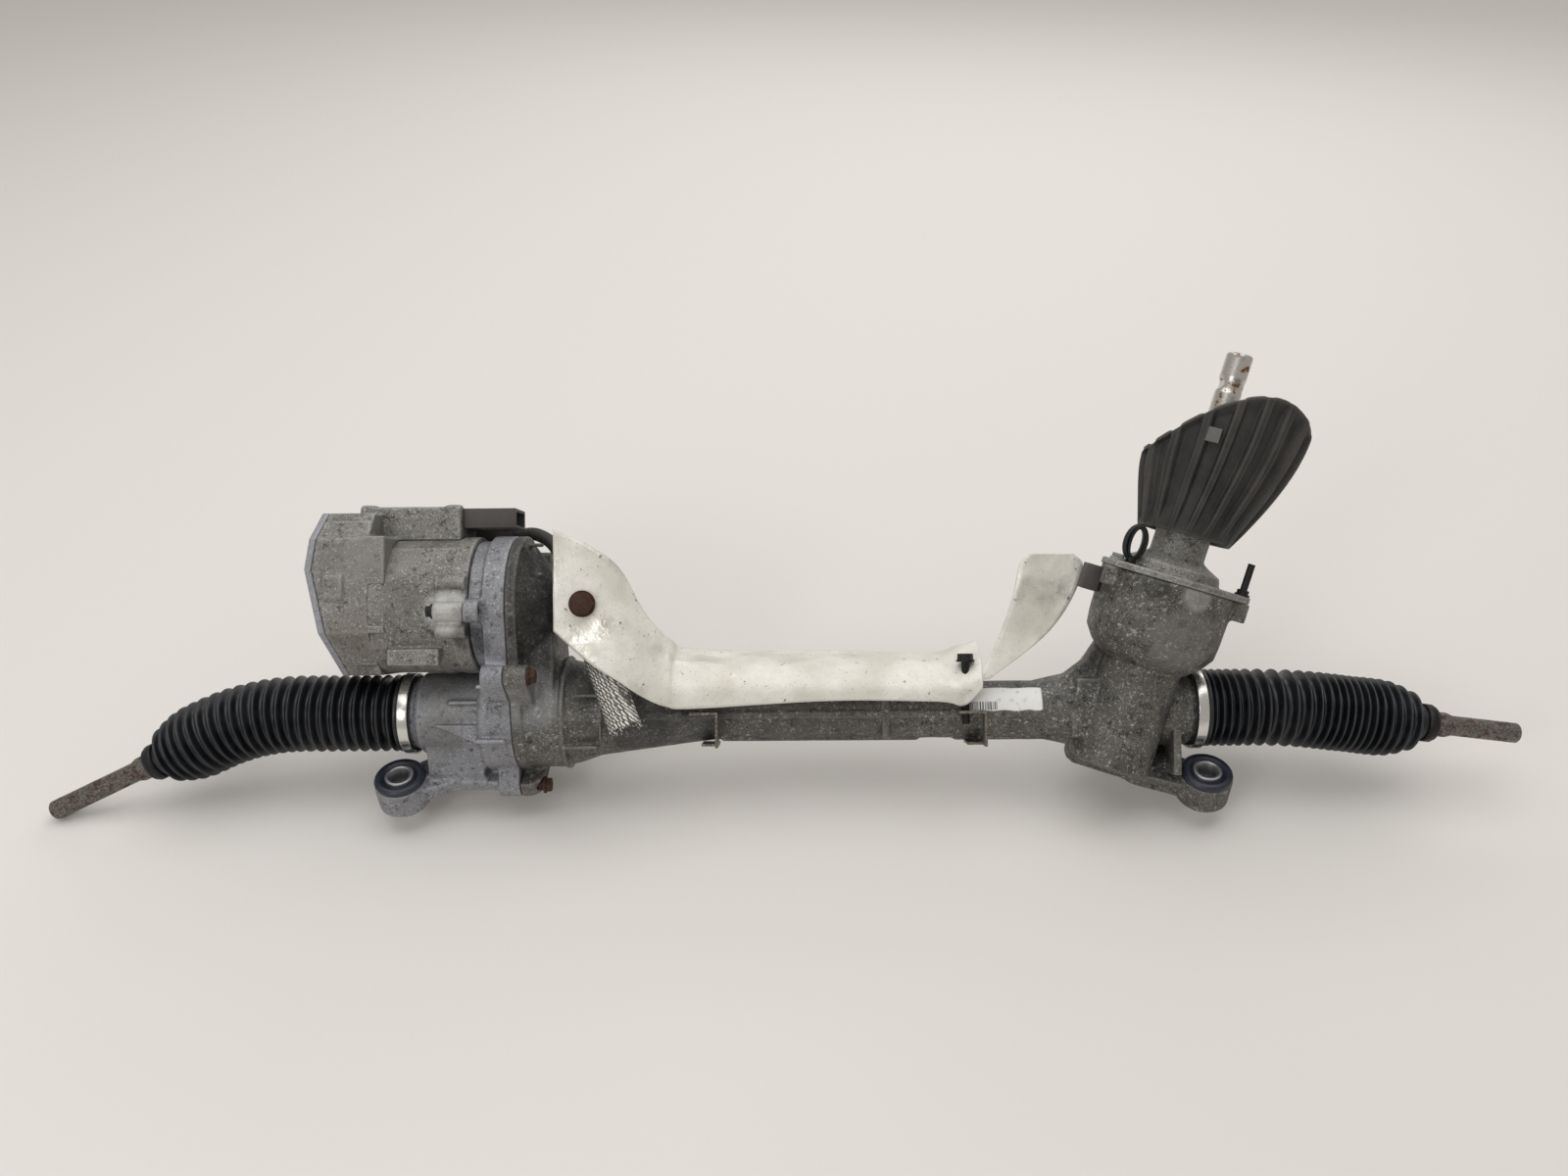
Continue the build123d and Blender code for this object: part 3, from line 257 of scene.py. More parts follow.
def softened(piece, voxel, rounds):
    """Bakes a piece over a grid of that voxel in mm, with its edges rounded off."""
    remesh = piece.modifiers.new("skin", "REMESH")
    remesh.mode = "VOXEL"
    remesh.voxel_size = voxel * MM
    smooth = piece.modifiers.new("radii", "SMOOTH")
    smooth.factor = 0.5
    smooth.iterations = rounds
    applied(piece)


def lifted(piece, height):
    """Moves each point along its normal by height(place) in mm."""
    points = [(vertex.co.copy(), vertex.normal.copy()) for vertex in piece.data.vertices]
    moved = [value for place, normal in points for value in place + normal * height(place) * MM]
    piece.data.vertices.foreach_set("co", moved)
    piece.data.update()


def bevelled(piece, width):
    """Rounds a piece's sharp edges by a few tenths of a millimetre."""
    bevel = piece.modifiers.new("edges", "BEVEL")
    bevel.width = width * MM
    bevel.segments = 2
    bevel.limit_method = "ANGLE"
    bevel.angle_limit = math.radians(35)
    applied(piece)
    shade_smooth(piece)


def casting(name, node, extra, material, body, voxel, rounds=3, wave=0.12):
    """A CAD casting with its extra ribs fused on, its edges rounded and its skin made uneven."""
    mesh = bmesh.new()
    mesh.from_mesh(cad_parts[node].data)
    if extra:
        extra(mesh)
    piece = finish_mesh(name, mesh, material, body)
    softened(piece, voxel, rounds)
    lifted(piece, lambda place: (noise.noise(place * 90) + 0.5 * noise.noise(place * 300)) * wave)
    shade_smooth(piece)
    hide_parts(node)
    return piece


# ---------------------------------------------------------------- material tools
def linear(hexcode):
    """Linear RGBA from an sRGB hex colour."""
    parts = [int(hexcode[n:n + 2], 16) / 255 for n in (1, 3, 5)]
    return tuple([c / 12.92 if c <= 0.04045 else ((c + 0.055) / 1.055) ** 2.4 for c in parts] + [1.0])


def scale(size):
    """Texture scale for a pattern of that size in mm."""
    return 1000 / size


def add(tree, kind, inputs=None, **settings):
    """Adds a node with its settings, socket values and links."""
    made = tree.nodes.new(kind)
    stops = settings.pop("stops", None)
    for name, value in settings.items():
        setattr(made, name, value)
    for name, value in (inputs or {}).items():
        if isinstance(value, bpy.types.NodeSocket):
            tree.links.new(value, made.inputs[name])
        else:
            made.inputs[name].default_value = value
    if stops:
        ramp = made.color_ramp
        while len(ramp.elements) < len(stops):
            ramp.elements.new(0.5)
        for element, (position, colour) in zip(ramp.elements, stops):
            element.position = position
            element.color = linear(colour)
    return made


def material_with(name, build):
    """Material whose shader inputs come from build(tree, coordinates)."""
    material = bpy.data.materials.new(name)
    material.use_nodes = True
    tree = material.node_tree
    tree.nodes.clear()
    coords = add(tree, "ShaderNodeTexCoord").outputs["Object"]
    shader = add(tree, "ShaderNodeBsdfPrincipled", build(tree, coords))
    add(tree, "ShaderNodeOutputMaterial", {"Surface": shader.outputs["BSDF"]})
    return material


def speckle(tree, coords, size, detail=5.0, rough=0.6, low=0.4, high=0.6):
    """Mask from 0 to 1 in patches of that size in mm."""
    field = add(tree, "ShaderNodeTexNoise", {
        "Vector": coords, "Scale": scale(size), "Detail": detail, "Roughness": rough,
    })
    return add(tree, "ShaderNodeMapRange", {
        "Value": field.outputs["Fac"], "From Min": low, "From Max": high,
    }).outputs["Result"]


def blend(tree, mask, low, high):
    """Colour between two colours by a mask; each is a socket or a hex colour."""
    mix = add(tree, "ShaderNodeMix", data_type="RGBA")
    tree.links.new(mask, mix.inputs["Factor"])
    for socket, value in ((mix.inputs[6], low), (mix.inputs[7], high)):
        if isinstance(value, str):
            socket.default_value = linear(value)
        else:
            tree.links.new(value, socket)
    return mix.outputs[2]


def between(tree, mask, low, high):
    """Mask from 0 to 1 stretched between two values."""
    return add(tree, "ShaderNodeMapRange", {"Value": mask, "To Min": low, "To Max": high}).outputs["Result"]


def bumped(tree, mask, depth, strength=1.0, normal=None):
    """Normal from a height mask; depth in mm."""
    inputs = {"Height": mask, "Distance": depth * MM, "Strength": strength}
    if normal is not None:
        inputs["Normal"] = normal
    return add(tree, "ShaderNodeBump", inputs).outputs["Normal"]


def edges(tree, low=0.50, high=0.56):
    """Mask of outer edges: worn edges on metal and nylon, and on rubber crests a painted highlight with some
    wear.
    """
    pointed = add(tree, "ShaderNodeNewGeometry").outputs["Pointiness"]
    return add(tree, "ShaderNodeMapRange", {
        "Value": pointed, "From Min": low, "From Max": high,
    }).outputs["Result"]


# ---------------------------------------------------------------- materials
def stained(tree, coords, colour, stain_and_shade_patches):
    """Colour with soft patches, each (place in metres, radius in mm, hex colour, strength); most are stain
    marks, and some on the main casting are painted shade in a recess.
    """
    ragged = speckle(tree, coords, 12, 6, 0.7, 0.3, 0.7)
    for place, radius, tint, strength in stain_and_shade_patches:
        apart = add(tree, "ShaderNodeVectorMath", {0: coords, 1: place}, operation="DISTANCE")
        reach = add(tree, "ShaderNodeMapRange", {
            "Value": apart.outputs["Value"], "From Min": radius * 1.15 * MM, "From Max": radius * 0.75 * MM,
        }).outputs["Result"]
        torn = between(tree, ragged, 0.45, 1.0)
        mask = add(tree, "ShaderNodeMath", {0: reach, 1: torn}, operation="MULTIPLY")
        colour = blend(tree, between(tree, mask.outputs[0], 0.0, strength), colour, tint)
    return colour


def weathered_casting(name, bare, grey, grime, grain, share, stain_and_shade_patches):
    """Die-cast aluminium left outdoors: dull bare metal, white bloom and dark oily specks."""
    def build(tree, coords):
        cloud = speckle(tree, coords, 22, 4, 0.6, 0.38, 0.62)
        bloom = speckle(tree, coords, grain, 6, 0.75, 0.42, 0.58)
        specks = speckle(tree, coords, grain * 0.6, 4, 0.7, share, share + 0.06)
        pits = speckle(tree, coords, 3.2 * grain, 6, 0.7, 0.55, 0.63)
        chalk = speckle(tree, coords, grain * 1.3, 6, 0.8, 0.56, 0.64)
        colour = blend(tree, cloud, grey, bare)
        colour = blend(tree, between(tree, bloom, 0.0, 0.55), grey, colour)
        colour = blend(tree, between(tree, chalk, 0.0, 0.6), colour, "#DEDDD9")
        colour = blend(tree, between(tree, pits, 0.0, 0.75), colour, grime)
        colour = blend(tree, between(tree, specks, 0.0, 0.75), colour, grime)
        salt = speckle(tree, coords, 1.3, 3, 0.7, 0.57, 0.66)
        colour = blend(tree, between(tree, salt, 0.0, 0.4), colour, "#DEDDD9")
        # Soft patches from the list: stain marks, and on the main casting painted shade in its chamber.
        colour = stained(tree, coords, colour, stain_and_shade_patches)
        colour = blend(tree, between(tree, edges(tree), 0.0, 0.5), colour, bare)
        fine = speckle(tree, coords, 0.9, 3, 0.6, 0.3, 0.7)
        normal = bumped(tree, fine, 0.12, 0.6)
        normal = bumped(tree, cloud, 0.5, 0.5, normal)
        return {
            "Base Color": colour, "Metallic": between(tree, specks, 0.62, 0.1),
            "Roughness": between(tree, bloom, 0.5, 0.66), "Normal": normal,
        }
    return material_with(name, build)


def bright_steel(name, tone, roughness, spots):
    """Machined or rolled steel with fine drawn lines and small dark spots."""
    def build(tree, coords):
        stretched = add(tree, "ShaderNodeMapping", {"Vector": coords, "Scale": (0.15, 1, 1)})
        lines = speckle(tree, stretched.outputs["Vector"], 0.8, 4, 0.6, 0.3, 0.7)
        marks = speckle(tree, coords, 2.4, 5, 0.7, 0.6, 0.68)
        colour = blend(tree, between(tree, marks, 0.0, spots), tone, "#3A3733")
        return {
            "Base Color": colour, "Metallic": 1.0,
            "Roughness": between(tree, lines, roughness - 0.08, roughness + 0.1),
            "Normal": bumped(tree, lines, 0.05, 0.4),
        }
    return material_with(name, build)


def rusted_steel(name, steel, rust, amount):
    """Forged steel, dark scale with brown rust and a few worn bright places."""
    def build(tree, coords):
        patches = speckle(tree, coords, 7, 6, 0.7, 0.62 - amount * 0.25, 0.7 - amount * 0.2)
        fine = speckle(tree, coords, 1.4, 5, 0.7, 0.4, 0.62)
        colour = blend(tree, fine, steel, "#4A443E")
        rusty = blend(tree, fine, rust, "#2E1D14")
        colour = blend(tree, patches, colour, rusty)
        return {
            "Base Color": colour, "Metallic": between(tree, patches, 0.85, 0.1),
            "Roughness": between(tree, patches, 0.42, 0.8), "Normal": bumped(tree, fine, 0.25, 0.7),
        }
    return material_with(name, build)


def moulded_rubber(name, colour, dust, dusty):
    """Moulded rubber: black, slightly glossy, paler where dust and handling have dried it, and lightened on
    its crests and outer edges: painted highlight with some wear.
    """
    def build(tree, coords):
        veil = speckle(tree, coords, 16, 5, 0.6, 0.42, 0.68)
        film = add(tree, "ShaderNodeMath", {0: veil, 1: dusty}, operation="MULTIPLY").outputs[0]
        # The edge mask lightens crests and outer edges towards the dust colour: painted highlight on the
        # crests, with some wear.
        worn = between(tree, edges(tree, 0.5, 0.62), 0.0, 0.5)
        tone = blend(tree, film, colour, dust)
        tone = blend(tree, worn, tone, dust)
        fine = speckle(tree, coords, 0.8, 3, 0.5, 0.3, 0.7)
        return {
            "Base Color": tone, "Roughness": between(tree, veil, 0.33, 0.5), "IOR": 1.52,
            "Normal": bumped(tree, fine, 0.05, 0.5),
        }
    return material_with(name, build)


def dusty_nylon(name, colour, dust):
    """Glass-filled nylon, moulded matt black, with dry road dust on its faces."""
    def build(tree, coords):
        veil = speckle(tree, coords, 28, 6, 0.65, 0.4, 0.66)
        fine = speckle(tree, coords, 1.1, 4, 0.7, 0.35, 0.65)
        tone = blend(tree, between(tree, veil, 0.05, 0.75), colour, dust)
        tone = blend(tree, between(tree, edges(tree, 0.5, 0.6), 0.0, 0.4), tone, "#77716A")
        return {
            "Base Color": tone, "Roughness": between(tree, fine, 0.5, 0.7), "IOR": 1.53,
            "Normal": bumped(tree, fine, 0.1, 0.6),
        }
    return material_with(name, build)


def pressed_aluminium():
    """Thin aluminium sheet, pressed and heat-bleached: chalky bloom over metal, stained by specks of grit."""
    def build(tree, coords):
        cloud = speckle(tree, coords, 40, 4, 0.6, 0.36, 0.62)
        chalk = speckle(tree, coords, 5, 6, 0.7, 0.4, 0.62)
        grit = speckle(tree, coords, 1.3, 4, 0.65, 0.63, 0.68)
        spots = speckle(tree, coords, 5.0, 4, 0.6, 0.68, 0.71)
        shine = speckle(tree, coords, 33, 3, 0.5, 0.54, 0.74)
        colour = blend(tree, cloud, "#DCD9CE", "#F4F2EB")
        colour = blend(tree, between(tree, chalk, 0.0, 0.3), colour, "#C4C1B6")
        colour = blend(tree, between(tree, grit, 0.0, 0.75), colour, "#6A655C")
        colour = blend(tree, between(tree, spots, 0.0, 0.8), colour, "#57493A")
        normal = bumped(tree, chalk, 0.12, 0.5)
        normal = bumped(tree, cloud, 1.2, 0.35, normal)
        return {
            "Base Color": colour, "Metallic": between(tree, shine, 0.12, 0.95),
            "Roughness": between(tree, shine, 0.52, 0.26), "Normal": normal,
        }
    return material_with("pressed aluminium shield", build)


def woven_foil():
    """Glass sleeve under foil: crossing strands, bright on top and grey between, drawn 6 mm wide to show."""
    def build(tree, coords):
        turned = add(tree, "ShaderNodeMapping", {"Vector": coords, "Rotation": (0.4, 0.9, 0.7)})
        bands = [
            add(tree, "ShaderNodeTexWave", {
                "Vector": source, "Scale": scale(6), "Distortion": 3.0, "Detail": 3.0, "Detail Scale": 2.0,
            }, wave_type="BANDS", bands_direction=way).outputs["Fac"]
            for source, way in ((coords, "DIAGONAL"), (turned.outputs["Vector"], "X"))
        ]
        weave = add(tree, "ShaderNodeMath", {0: bands[0], 1: bands[1]}, operation="MULTIPLY").outputs[0]
        gaps = add(tree, "ShaderNodeMapRange", {
            "Value": weave, "From Min": 0.08, "From Max": 0.3,
        }).outputs["Result"]
        return {
            "Base Color": blend(tree, gaps, "#5D5B55", "#DAD8D2"), "Metallic": 0.6,
            "Roughness": between(tree, gaps, 0.55, 0.3), "Normal": bumped(tree, weave, 0.5, 1.0),
        }
    return material_with("woven foil sleeve", build)


def worn_shaft():
    """Ground steel shaft, bright, with brown rust where the clamp sat."""
    def build(tree, coords):
        patch = speckle(tree, coords, 13, 5, 0.65, 0.54, 0.6)
        fine = speckle(tree, coords, 1.5, 4, 0.7, 0.35, 0.65)
        rust = blend(tree, fine, "#8A5A20", "#4A2F18")
        return {
            "Base Color": blend(tree, patch, "#C9C7C2", rust), "Metallic": between(tree, patch, 1.0, 0.15),
            "Roughness": between(tree, patch, 0.2, 0.75), "Normal": bumped(tree, fine, 0.15, 0.4),
        }
    return material_with("worn ground steel", build)


def plain_finish(name, colour, metallic, roughness, size=1.0):
    """Inner pieces: one moulded or machined tone with slight variation."""
    def build(tree, coords):
        veil = speckle(tree, coords, 9, 4, 0.6, 0.35, 0.65)
        fine = speckle(tree, coords, size, 3, 0.6, 0.3, 0.7)
        dark = "#" + "".join(f"{int(int(colour[n:n + 2], 16) * 0.8):02X}" for n in (1, 3, 5))
        return {
            "Base Color": blend(tree, veil, dark, colour), "Metallic": metallic,
            "Roughness": between(tree, fine, roughness - 0.06, roughness + 0.08),
            "Normal": bumped(tree, fine, 0.04, 0.4),
        }
    return material_with(name, build)


def printed_paper():
    """Paper sticker with rows of plain dark bars and no lettering."""
    def build(tree, coords):
        uv = add(tree, "ShaderNodeTexCoord").outputs["UV"]
        place = add(tree, "ShaderNodeSeparateXYZ", {"Vector": uv})
        bars = add(tree, "ShaderNodeTexNoise", {
            "W": place.outputs["X"], "Scale": 60.0, "Detail": 2.0,
        }, noise_dimensions="1D").outputs["Fac"]
        bars = add(tree, "ShaderNodeMath", {0: bars, 1: 0.5}, operation="GREATER_THAN").outputs[0]
        for socket, low, high in (("X", 0.06, 0.45), ("Y", 0.12, 0.42)):
            above = add(tree, "ShaderNodeMath", {0: place.outputs[socket], 1: low}, operation="GREATER_THAN")
            below = add(tree, "ShaderNodeMath", {0: place.outputs[socket], 1: high}, operation="LESS_THAN")
            for gate in (above, below):
                bars = add(tree, "ShaderNodeMath", {0: bars, 1: gate.outputs[0]}, operation="MULTIPLY")
                bars = bars.outputs[0]
        stain = speckle(tree, coords, 5, 5, 0.7, 0.56, 0.66)
        tone = blend(tree, bars, "#EDEDEA", "#2A2A2C")
        return {
            "Base Color": blend(tree, between(tree, stain, 0.0, 0.5), tone, "#A9A49A"),
            "Roughness": 0.45, "IOR": 1.5,
        }
    return material_with("printed paper label", build)


# Patches on the main casting. The near-black patches beside the ribs at its left end are painted shade in the
# chamber there.
MAIN_STAINS_AND_SHADE = [
    (drive(-192, 96, 34), 44, "#232325", 0.86), (drive(-186, 58, 48), 30, "#1F1F21", 0.86),
    (drive(-160, 30, 38), 26, "#232325", 0.8), (drive(-200, 12, 46), 24, "#A9AAAD", 0.5),
    (drive(-120, -16, 30), 26, "#2A2B2F", 0.75), (drive(-80, 6, 24), 34, "#3A3A3C", 0.6),
    (drive(215, 44, 24), 20, "#3B3937", 0.6), (drive(20, -10, 20), 60, "#4B4946", 0.4),
    (pinion(-20, -42, 98), 12, "#2A2826", 0.8), (pinion(8, -46, 97), 11, "#C9C6C1", 0.6),
    (drive(262, -2, 28), 12, "#1F1E1E", 0.8), (pinion(10, -46, 62), 26, "#8E8D89", 0.5),
]
END_STAINS = [
    (drive(-262, 12, 28), 24, "#7E7D79", 0.6), (drive(-226, 30, 46), 17, "#C6C8D0", 0.6),
    (drive(-270, -16, 26), 18, "#6E6C68", 0.6), (drive(-234, 56, 50), 14, "#232325", 0.8),
]
MOTOR_STAINS = [
    (drive(-253, 76, 62), 17, "#E2E2E0", 0.7), (drive(-330, 110, 40), 30, "#8A8883", 0.6),
    (drive(-300, 128, 50), 26, "#8F8D88", 0.6), (drive(-325, 60, 55), 20, "#7C756A", 0.5),
    (drive(-290, 86, 62), 16, "#55534F", 0.5), (drive(-240, 60, 58), 13, "#2A2928", 0.8),
]
MATERIALS = {}


# Patch list of each casting; the main casting's list also holds painted shade.
CASTING_STAINS_AND_SHADE = {"housing": MAIN_STAINS_AND_SHADE, "end": END_STAINS, "motor": MOTOR_STAINS}
# finish: its name, bare metal, weathered metal, grime, grain in mm and how rare its specks are
CASTING_FINISHES = {
    "housing": ("die-cast aluminium, oily", "#8B8984", "#575552", "#232220", 2.8, 0.6),
    "end": ("die-cast aluminium, blued", "#ACADB3", "#83848A", "#403F41", 1.6, 0.59),
    "motor": ("die-cast aluminium, corroded", "#B9B8B4", "#7B7975", "#262420", 2.0, 0.54),
}


def make_materials():
    """Makes every finish, by the name that the pieces use."""
    for key, values in CASTING_FINISHES.items():
        MATERIALS[key] = weathered_casting(*values, CASTING_STAINS_AND_SHADE[key])
    MATERIALS.update({
        "clamp": bright_steel("rolled stainless band", "#D8D7D2", 0.22, 0.15),
        "zinc": bright_steel("zinc-plated sheet", "#A39F92", 0.42, 0.5),
        "steel": bright_steel("ground bearing steel", "#A9A9A6", 0.3, 0.1),
        "sleeve": bright_steel("turned steel sleeve", "#9FA0A3", 0.42, 0.3),
        "bracket": rusted_steel("zinc-plated bracket, dull", "#8F8B80", "#6B5B44", 0.25),
        "rod": rusted_steel("forged steel rod", "#8B8782", "#5F4A38", 0.45),
        "bolt": rusted_steel("rusted bolt head", "#4A3226", "#4F2C1B", 0.9),
        "black_bolt": plain_finish("phosphated black steel", "#2A2A2B", 0.6, 0.45),
        # The boot's dust colour also paints the highlight on its crests.
        "boot": moulded_rubber("moulded bellows rubber", "#090B0F", "#343B45", 0.2),
        "bush": moulded_rubber("moulded bush rubber", "#171D2A", "#39404B", 0.3),
        "seal": plain_finish("nitrile seal rubber", "#1A1A1B", 0.0, 0.55),
        "bell": dusty_nylon("glass-filled nylon, dusty", "#18181A", "#3B3835"),
        "pad": dusty_nylon("moulded nylon pad, bleached", "#4C5155", "#666A6C"),
        "plug": dusty_nylon("moulded nylon plug", "#17181B", "#34343A"),
        "conduit": dusty_nylon("ribbed polyamide conduit", "#121214", "#2C2B2A"),
        "shield": pressed_aluminium(),
        "foil": woven_foil(),
        "shaft": worn_shaft(),
        "acetal": plain_finish("moulded acetal", "#D8D2C2", 0.0, 0.4),
        "bronze": plain_finish("sintered bronze", "#9A7742", 0.9, 0.45),
        "copper": plain_finish("wound copper and laminations", "#8A4B2C", 0.7, 0.45),
        "belt": plain_finish("belt rubber", "#1F1F20", 0.0, 0.6),
        "paper": printed_paper(),
    })


CARRIED = {
    "zinc": ["pinion_nut", "bottom_cap", "yoke_plug"],
    "steel": ["rack_bar", "pinion", "torsion_bar", "pinion_top_bearing", "pinion_low_bearing", "ball_nut",
              "nut_bearing", "bearing_ring", "nut_pulley", "motor_pulley", "motor_shaft", "yoke_spring",
              "ball_housing_left", "ball_housing_right"],
    "acetal": ["ball_seat_left", "ball_seat_right", "rack_bush"],
    "seal": ["shaft_seal"],
    "belt": ["drive_belt"],
    "copper": ["stator"],
    "motor": ["yoke"],
    "plug": ["power_connector", "signal_plug", "sensor_connector", "torque_sensor"],
    "bolt": ["housing_bolts"],
    "black_bolt": ["motor_bolts", "cover_screws", "flange_stud", "cable_clip"],
    "end": ["ecu_cover"],
}


# ---------------------------------------------------------------- castings
def drive_box(mesh, x, v, w):
    """Closed box in the drive's leaned frame from its three (low, high) spans."""
    corners = [(x[0], v[0]), (x[1], v[0]), (x[1], v[1]), (x[0], v[1])]
    prism(mesh, drive, corners, w[0], w[1])


def drive_peg(mesh, x, v, low, high, radius):
    """Closed round boss standing out of the leaned plane."""
    profile = [(radius, low), (radius, high - 1), (radius - 1, high)]
    lathe(mesh, lambda a, b, h: drive(x + a, v + b, h), profile, 24)


def along_peg(mesh, v, w, low, high, radius):
    """Closed round boss along the rack's direction."""
    lathe(mesh, lambda a, b, h: drive(h, v + a, w + b), [(radius, low), (radius, high)], 24)


def motor_ribs(mesh):
    """Pads, bosses and ribs of the motor's casting."""
    drive_box(mesh, (-300, -262), (38, 50), (48, 56))
    drive_box(mesh, (-262, -243), (60, 92), (54, 64))
    along_peg(mesh, 98, 62, -262, -240.5, 5.5)
    along_peg(mesh, 63, 62, -262, -240.5, 5.5)
    drive_box(mesh, (-306, -245), (118, 124), (34, 42))


def end_ribs(mesh):
    """Ribs and the machined band of the left casting."""
    for v in (22, -18):
        drive_box(mesh, (-238, -216), (v - 1.5, v + 1.5), (38, 46))
    drive_box(mesh, (-262, -240), (8, 11), (22, 33.5))


def housing_ribs(mesh):
    """Stiffening ribs, bosses and pads of the main casting."""
    for v in (126, 104, 58):
        drive_box(mesh, (-212, -190), (v - 1.4, v + 1.4), (30, 47 - abs(v - 80) * 0.25))
    drive_peg(mesh, -206, 119, 10, 38, 7)
    for v in (14, -24):
        drive_box(mesh, (-178, -150), (v - 1.2, v + 1.2), (22, 36.5))
    drive_box(mesh, (-150, -148), (-20, 24), (20, 34.5))
    drive_box(mesh, (60, 66), (-20, 20), (6, 22.8))
    prism(mesh, drive, [(176, 20), (238, 20), (238, 66), (226, 56), (213, 37), (198, 26)], 0, 13)
    prism(mesh, drive, [(200, -20), (225, -20), (225, 24), (205, 24)], 4, 27)
    drive_peg(mesh, 262, -5, 14, 29.5, 4.5)
    drive_box(mesh, (275, 281), (-48, -14), (16, 28))


def controller_ribs(mesh):
    """Pads and screw bosses of the controller's casting."""
    drive_box(mesh, (-344, -330), (86, 104), (50, 63))
    drive_box(mesh, (-341, -314), (140, 144), (30, 52))
    drive_peg(mesh, -333, 128, 50, 62.5, 3.5)
    drive_box(mesh, (-329, -312), (38, 44), (10, 40))


class RACK_OT_castings(bpy.types.Operator):
    """Re-makes the castings with ribs, rounded edges and uneven cast skins"""
    bl_idname = "rack.castings"
    bl_label = "Castings"

    def execute(self, context):
        voxel = context.scene.rack_sizes.cast_grain
        casting("main_casting", "rack_housing", housing_ribs, MATERIALS["housing"], "housing", voxel)
        casting("end_casting", "end_housing", end_ribs, MATERIALS["end"], "housing", voxel)
        casting("motor_casting", "motor_housing", motor_ribs, MATERIALS["motor"], "housing", voxel)
        casting("controller_casting", "ecu_housing", controller_ribs, MATERIALS["motor"], "housing", voxel)
        casting("sensor_lid", "sensor_cover", None, MATERIALS["motor"], "housing", voxel * 0.8, 2)
        return {"FINISHED"}


# ---------------------------------------------------------------- heat shield
SHIELD_SECTIONS = [
    (-181, [(62, 45), (78, 45.5), (96, 46), (116, 46), (137, 46)]),
    (-157, [(40, 44), (58, 45), (80, 45), (104, 44), (126, 42)]),
    (-134, [(25, 44), (40, 45), (62, 44), (88, 40), (108, 35)]),
    (-116, [(13, 41), (26, 42), (42, 39), (58, 31), (74, 22)]),
    (-100, [(6, 37), (20, 38), (34, 31), (46, 18), (55, 4)]),
    (-80, [(4, 34), (20, 34), (34, 23), (42, 2), (46, -18)]),
    (20, [(9, 33), (20, 33), (33, 21), (41, 0), (44, -20)]),
    (100, [(8, 33), (20, 33), (33, 21), (41, 0), (42, -20)]),
    (120, [(5, 33), (20, 34), (34, 24), (43, 6), (47, -14)]),
    (134, [(18, 34), (28, 33), (38, 27), (46, 14), (52, -2)]),
]
SHIELD_FLAP = [
    (24, (131, 33), (139, 31)), (55, (147, 27), (181, 24)), (85, (157, 31), (204, 20)),
    (108, (163, 28), (213, 14)), (117, (171, 26), (206, 13)),
]


def smooth_row(points, count):
    """Points evenly along a soft curve through the given corners."""
    places = [Vector(point) for point in points]
    row = []
    for n in range(count):
        run = n / (count - 1) * (len(places) - 1)
        k = min(int(run), len(places) - 2)
        t = run - k
        before = places[k - 1] if k else 2 * places[k] - places[k + 1]
        after = places[k + 2] if k + 2 < len(places) else 2 * places[k + 1] - places[k]
        a, b = places[k], places[k + 1]
        row.append(0.5 * (2 * a + (b - before) * t + (2 * before - 5 * a + 4 * b - after) * t ** 2
                          + (3 * a - before - 3 * b + after) * t ** 3))
    return row


def crumple(point, depth):
    """Shallow dents and creases of thin sheet, in mm."""
    soft = noise.noise(point * 28) * 1.0
    crease = abs(noise.noise(point * 55 + Vector((3, 1, 2)))) * 0.8
    return (soft - crease + 0.3) * depth


def sheet_piece(name, rows, material, thickness, dent):
    """Thin sheet over rows of points, dented, thickened and smoothed."""
    mesh = bmesh.new()
    skin(mesh, rows, close_round=False)
    piece = finish_mesh(name, mesh, material, "housing")
    lifted(piece, lambda place: crumple(place, dent))
    thickened(piece, "sheet", thickness, 0)
    applied(piece)
    shade_smooth(piece)
    return piece


class RACK_OT_heat_shield(bpy.types.Operator):
    """Makes the pressed heat shield with its bent flap and dents"""
    bl_idname = "rack.heat_shield"
    bl_label = "Heat shield"

    def execute(self, context):
        thick = context.scene.rack_sizes.sheet
        sections = [smooth_row([(x, v, w - 0.6) for v, w in corners], SHIELD_ROUND)
                    for x, corners in SHIELD_SECTIONS]
        columns = [smooth_row(column, SHIELD_ROWS) for column in zip(*sections)]
        rows = [[drive(*point) for point in column] for column in columns]
        main = sheet_piece("shield_sheet", rows, MATERIALS["shield"], thick, 0.8)
        sides = [smooth_row([(a[0], v, a[1] - 0.6), (b[0], v, b[1] - 0.6)], FLAP_ROUND)
                 for v, a, b in SHIELD_FLAP]
        columns = [smooth_row(column, FLAP_ROWS) for column in zip(*sides)]
        rows = [[drive(*point) for point in column] for column in columns]
        flap = sheet_piece("shield_flap", rows, MATERIALS["shield"], thick, 1.1)
        for piece in (main, flap):
            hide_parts("heat_shield")
        return {"FINISHED"}


# ---------------------------------------------------------------- bell cover
def bell_radius(turn, height):
    """Radius and centre offset of the bell at a height from 0 at its narrow end to 1 at its rim."""
    flare = 1 - (1 - height) ** 1.7
    wide = BELL_NECK + (BELL_WIDE - BELL_NECK) * flare
    deep = BELL_NECK + (BELL_DEEP - BELL_NECK) * flare
    offset = BELL_SHIFT * flare
    radius = 1 / math.sqrt((math.cos(turn) / wide) ** 2 + (math.sin(turn) / deep) ** 2)
    return radius, offset


